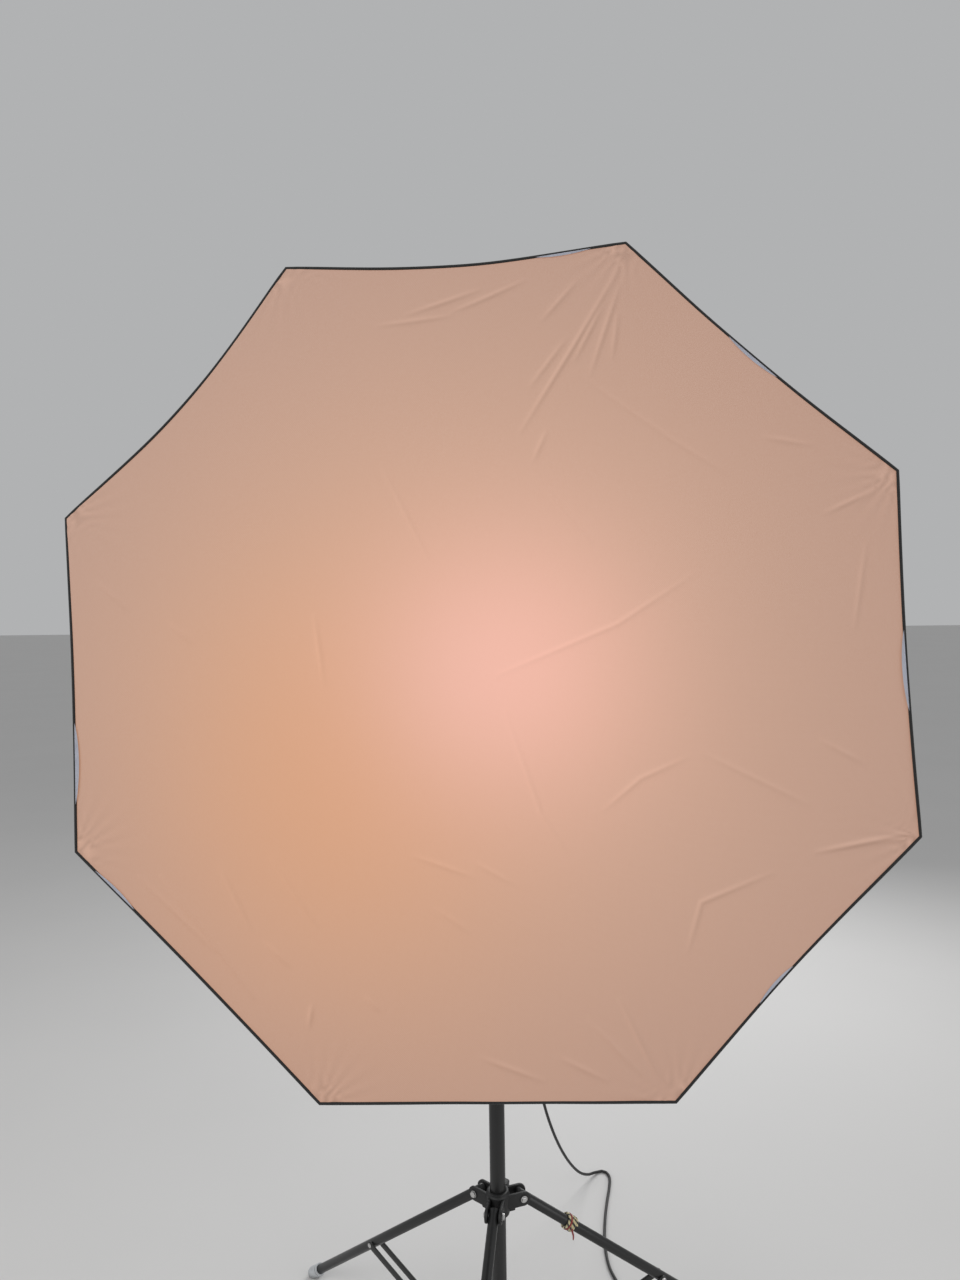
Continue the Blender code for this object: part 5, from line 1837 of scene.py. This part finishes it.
def make_skirt():
    """The gathered cloth that closes the shell down onto the ring."""
    ring_reach = 0.0812

    def place(u, v):
        around = u * sides % sides
        outer = on_skin(around, 0.042, 0.0048)
        aim = outer.xy.normalized()
        gather = 0.5 + 0.5 * sin(2 * pi * gathers * u)
        inner = Vector((aim.x * ring_reach, aim.y * ring_reach, ring_back + 0.0055))
        point = inner.lerp(outer, v)
        point.z -= (0.0015 + 0.0022 * gather) * sin(pi * v)
        return point

    skirt = surface(place, 264, 8, 0.55, 0.018)
    bmesh.ops.remove_doubles(skirt, verts=skirt.verts, dist=1e-6)
    bmesh.ops.recalc_face_normals(skirt, faces=skirt.faces)
    return piece("rear_skirt", skirt, NYLON, "softbox", (), TO_SOFTBOX, 0.0005)


def make_cuff():
    """The elasticated hem round the ring."""
    steps = 240

    def place(u, v):
        around = u * sides % sides
        gather = 0.5 + 0.5 * sin(2 * pi * gathers * u)
        spin = 2 * pi * v
        middle = on_skin(around, 0.040, 0.0052 + 0.0008 * gather)
        beyond = on_skin(around, 0.052, 0.0052 + 0.0008 * gather)
        ahead = (beyond - middle).normalized()
        out = (on_skin(around, 0.040, 0.009) - middle).normalized()
        return middle + ahead * 0.0042 * cos(spin) + out * (0.0016 + 0.0007 * gather) * sin(spin)

    hem = surface(place, steps, 10, 0.6, 0.02)
    bmesh.ops.remove_doubles(hem, verts=hem.verts, dist=1e-6)
    bmesh.ops.recalc_face_normals(hem, faces=hem.faces)
    return piece("elastic_cuff", hem, BINDING, "softbox", (), TO_SOFTBOX)


def rim_line(inset, level, steps=28):
    points = []
    for k in range(sides):
        for step in range(steps):
            spot = edge_place(k, step / steps)
            spot = spot * (1 - inset / spot.length)
            points.append(Vector((spot.x, spot.y, level)))
    return points


def make_rim():
    """The narrow binding round the front edge."""
    line = rim_line(0.003, rim_level)
    count = len(line)

    def place(u, v):
        index = round(v * count) % count
        here, ahead = line[index], line[(index + 1) % count] - line[index - 1]
        ahead.normalize()
        out = ahead.cross(Vector((0, 0, 1)))
        spin = 2 * pi * u
        return here + (out * cos(spin) + Vector((0, 0, 1)) * sin(spin)) * binding_radius

    shape = surface(place, 14, count, 0.016, 3.6)
    bmesh.ops.remove_doubles(shape, verts=shape.verts, dist=1e-6)
    bmesh.ops.recalc_face_normals(shape, faces=shape.faces)
    return piece("edge_binding", shape, BINDING, "softbox", "rim_binding", TO_SOFTBOX)


# Creases pulled into the diffuser, as points on its face with a strength.
creases = [
    (0.8, (0.10, 0.52), (0.0, 0.485)),
    (0.8, (0.04, 0.515), (-0.06, 0.485)),
    (0.7, (0.0, 0.48), (-0.10, 0.47)),
    (1.0, (0.225, 0.52), (0.16, 0.42), (0.085, 0.31)),
    (0.7, (0.15, 0.43), (0.10, 0.37)),
    (0.9, (0.20, 0.47), (0.16, 0.40)),
    (0.9, (0.225, 0.50), (0.18, 0.38)),
    (0.8, (0.22, 0.46), (0.21, 0.40)),
    (0.7, (0.17, 0.51), (0.12, 0.46)),
    (0.7, (0.16, 0.385), (0.28, 0.29), (0.35, 0.24)),
    (0.6, (-0.10, 0.27), (-0.045, 0.15)),
    (0.6, (0.10, 0.25), (0.17, 0.16)),
    (0.6, (0.10, 0.27), (0.12, 0.31)),
    (0.5, (0.04, -0.01), (0.20, 0.05), (0.30, 0.11)),
    (0.6, (0.05, -0.06), (0.09, -0.19), (0.12, -0.24)),
    (0.6, (0.17, -0.19), (0.22, -0.15), (0.28, -0.125)),
    (0.7, (0.30, -0.12), (0.43, -0.19)),
    (0.7, (0.50, 0.03), (0.52, 0.14)),
    (0.8, (0.53, 0.205), (0.47, 0.18)),
    (0.7, (0.40, 0.285), (0.46, 0.27)),
    (0.8, (0.45, -0.11), (0.50, -0.14)),
    (1.3, (0.545, -0.23), (0.435, -0.25)),
    (0.8, (0.38, -0.275), (0.29, -0.31), (0.27, -0.37)),
    (1.1, (0.18, -0.43), (0.225, -0.53)),
    (1.0, (0.14, -0.455), (0.20, -0.52)),
    (0.9, (0.10, -0.50), (0.16, -0.53)),
    (0.9, (0.0, -0.50), (0.08, -0.53)),
    (0.8, (-0.34, -0.25), (-0.30, -0.33)),
    (1.3, (-0.42, -0.26), (-0.36, -0.34), (-0.30, -0.42)),
    (1.1, (-0.45, -0.26), (-0.35, -0.36)),
    (0.8, (-0.27, -0.24), (-0.21, -0.33)),
    (0.8, (-0.28, -0.35), (-0.25, -0.38)),
    (0.8, (-0.22, -0.43), (-0.225, -0.46)),
    (0.6, (-0.15, -0.42), (-0.13, -0.44)),
    (0.6, (-0.08, -0.24), (0.0, -0.27)),
    (0.6, (0.0, -0.25), (0.05, -0.28)),
    (0.6, (-0.05, -0.31), (-0.01, -0.34)),
    (0.8, (-0.50, 0.14), (-0.46, 0.10)),
    (0.6, (-0.40, 0.08), (-0.37, 0.05)),
    (0.6, (-0.20, 0.08), (-0.19, -0.01)),
]
crease_width = 0.0034
crease_lift = 0.0011
crease_seen = 0.00005             # the cloth is cut finer where creases lift it more than this
crease_margin = 0.02              # how far past its ends a crease is looked for
gather_reach = 0.12               # how far small folds spread from each corner


def crease_height(spot):
    """How far the cloth is lifted at a place by the creases near it, in metres."""
    lift = 0.0
    for strength, *line in creases:
        left, right = min(p[0] for p in line), max(p[0] for p in line)
        bottom, top = min(p[1] for p in line), max(p[1] for p in line)
        if not (
            left - crease_margin < spot.x < right + crease_margin
            and bottom - crease_margin < spot.y < top + crease_margin
        ):
            continue
        nearest = 1.0
        along = 0.0
        for index, (one, other) in enumerate(zip(line, line[1:])):
            a, b = Vector(one), Vector(other)
            run = b - a
            f = min(max((spot - a).dot(run) / run.length_squared, 0.0), 1.0)
            away = (spot - a - run * f).length
            if away < nearest:
                nearest = away
                along = (index + f) / (len(line) - 1)
        taper = sin(pi * min(max(0.06 + along * 0.88, 0.0), 1.0))
        lift += strength * crease_lift * taper * exp(-(nearest / crease_width) ** 2)
    return lift


def cloth_height(spot):
    swell = 0.0016 * noise.noise(Vector((spot.x * 3.2, spot.y * 3.2, 1.5)))
    gather = 0.0
    for corner in rim_corners:
        away = (spot - corner).length
        if away < gather_reach:
            side = atan2(spot.y - corner.y, spot.x - corner.x)
            fade = (1 - away / gather_reach) ** 2
            gather += 0.0005 * sin(22 * side) * fade * min(away / 0.02, 1)
    return crease_height(spot) + swell + gather


def make_diffuser():
    reach = 0.60
    count = 210
    shape = bmesh.new()
    bmesh.ops.create_grid(shape, x_segments=count, y_segments=count, size=reach)
    inset = 0.003 + binding_radius * 0.55
    for k in range(sides):
        one, other = rim_corners[k], rim_corners[(k + 1) % sides]
        run = other - one
        outward = Vector((run.y, -run.x, 0.0)).normalized()
        spot = Vector((one.x, one.y, 0.0)) - outward * inset
        bmesh.ops.bisect_plane(
            shape,
            geom=shape.verts[:] + shape.edges[:] + shape.faces[:],
            plane_co=spot,
            plane_no=outward,
            clear_outer=True,
        )
    near = [v for v in shape.verts if crease_height(v.co.xy) > crease_seen]
    close = set(near)
    split = [e for e in shape.edges if e.verts[0] in close or e.verts[1] in close]
    bmesh.ops.subdivide_edges(shape, edges=split, cuts=2, use_grid_fill=True)
    weave = shape.loops.layers.uv.new("weave")
    fold_shade_layer = shape.verts.layers.float.new("fold_shade")
    for face in shape.faces:
        for loop in face.loops:
            loop[weave].uv = loop.vert.co.xy
    step = 0.0012
    level = 0.4355
    for vert in shape.verts:
        spot = vert.co.xy.copy()
        size = spot.length
        pulled = spot
        if size > 0.05:
            for k in range(sides):
                one, other = rim_corners[k], rim_corners[(k + 1) % sides]
                run = other - one
                span = one.x * other.y - one.y * other.x
                f = one.x * spot.y - one.y * spot.x
                g = spot.x * other.y - spot.y * other.x
                if f >= 0 and g >= 0 and f + g > 0:
                    share = f / (f + g)
                    edge = size * span / (f + g)
                    pull = (edge_place(k, share) - one.lerp(other, share)).length
                    pulled = spot * (1 - pull / edge * (size / edge) ** 3)
                    break
        height = cloth_height(spot)
        # painted crease shade: the slope toward the upper left goes into fold_shade, which later lightens or
        # darkens the glow
        slope_x = (cloth_height(spot + Vector((step, 0))) - height) / step
        slope_y = (cloth_height(spot + Vector((0, step))) - height) / step
        vert[fold_shade_layer] = min(max((slope_x * 0.64 - slope_y * 0.77) * 3.2, -1.0), 1.0)
        vert.co = Vector((pulled.x, pulled.y, level + height))
    bmesh.ops.recalc_face_normals(shape, faces=shape.faces)
    if sum(f.normal.z for f in shape.faces[:20]) < 0:
        bmesh.ops.reverse_faces(shape, faces=shape.faces)
    return piece("diffuser_cloth", shape, DIFFUSER, "softbox", "front_diffuser", TO_SOFTBOX)


def make_hem_slivers():
    """Short runs of the diffuser's pale hem that show where the cloth has slipped off the edge."""
    runs = (
        (0, 0.42, 0.60, 0.0042),
        (7, 0.34, 0.56, 0.0050),
        (3, 0.62, 0.86, 0.0055),
        (4, 0.08, 0.24, 0.0036),
        (1, 0.10, 0.26, 0.0034),
        (6, 0.36, 0.50, 0.0036),
    )
    shapes = []
    for edge, start, end, width in runs:

        def place(u, v, edge=edge, start=start, end=end, width=width):
            spot = edge_place(edge, start + (end - start) * v)
            spot = spot * (1 - (0.0042 + u * width * sin(pi * v) ** 0.7) / spot.length)
            return Vector((spot.x, spot.y, rim_level + 0.0024 - 0.0006 * u))

        shapes.append(surface(place, 4, 28, width, 0.46 * (end - start)))
    strips = together(*shapes)
    bmesh.ops.recalc_face_normals(strips, faces=strips.faces)
    for face in strips.faces:
        if face.normal.z < 0:
            face.normal_flip()
    return piece("hem_slivers", strips, HEM, "softbox", (), TO_SOFTBOX)


def make_baffle():
    share = 0.58
    radius, level = rod_profile(share)
    size = 0.360
    flat = 60
    shape = bmesh.new()
    bmesh.ops.create_grid(shape, x_segments=flat, y_segments=flat, size=size)
    for k in range(sides):
        heading = 2 * pi * (k + 1) / sides
        outward = Vector((cos(heading), sin(heading), 0))
        bmesh.ops.bisect_plane(
            shape,
            geom=shape.verts[:] + shape.edges[:] + shape.faces[:],
            plane_co=outward * size * cos(pi / sides),
            plane_no=outward,
            clear_outer=True,
        )
    weave = shape.loops.layers.uv.new("weave")
    for face in shape.faces:
        for loop in face.loops:
            loop[weave].uv = loop.vert.co.xy
    for vert in shape.verts:
        spot = vert.co
        sag = 0.0025 * noise.noise(Vector((spot.x * 5, spot.y * 5, 2.0)))
        vert.co.z = level + sag
    bmesh.ops.recalc_face_normals(shape, faces=shape.faces)
    baffle = piece(
        "baffle_cloth", shape, BAFFLE, "softbox", "inner_baffle", TO_SOFTBOX, 0.0006
    )
    tabs = []
    for k in range(sides):
        heading = corner_turn + 2 * pi * k / sides
        long = radius - 0.0055 - size + 0.006
        strap = bar((long, 0.020, 0.0012), 0.0004, (size - 0.006 + long / 2, 0, level))
        tabs.append(moved(strap, turn(heading, "Z")))
    straps = piece("baffle_straps", together(*tabs), BINDING, "softbox", (), TO_SOFTBOX)
    return baffle, straps


def make_softbox():
    make_ring()
    make_rods()
    shell, trims = make_shell()
    rim = make_rim()
    diffuser = make_diffuser()
    slivers = make_hem_slivers()
    baffle, straps = make_baffle()
    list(trims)


make_softbox()


def make_room():
    shape = bmesh.new()
    bmesh.ops.create_grid(shape, x_segments=8, y_segments=8, size=30.0)
    mesh = bpy.data.meshes.new("floor")
    shape.to_mesh(mesh)
    shape.free()
    mesh.materials.append(floor_paint().material)
    floor = bpy.data.objects.new("floor", mesh)
    bpy.context.scene.collection.objects.link(floor)
    world = bpy.data.worlds.new("studio")
    world.use_nodes = True
    world.node_tree.nodes["Background"].inputs["Color"].default_value = (0.80, 0.81, 0.82, 1)
    world.node_tree.nodes["Background"].inputs["Strength"].default_value = 0.55
    bpy.context.scene.world = world
    for name, spot, aim, size, power in (
        ("key", (-2.2, -2.4, 2.9), (0, 0, 0.9), 2.4, 60),
        ("fill", (2.6, -1.6, 1.8), (0, 0, 0.9), 2.4, 28),
        ("back", (0.8, 2.8, 2.4), (0, 0, 1.0), 2.0, 50),
    ):
        lamp = bpy.data.lights.new(name, "AREA")
        lamp.shape = "SQUARE"
        lamp.size = size
        lamp.energy = power
        made = bpy.data.objects.new(name, lamp)
        bpy.context.scene.collection.objects.link(made)
        made.location = spot
        made.rotation_euler = (Vector(aim) - Vector(spot)).to_track_quat("-Z", "Y").to_euler()
    bpy.context.scene.view_settings.view_transform = "Standard"


make_room()
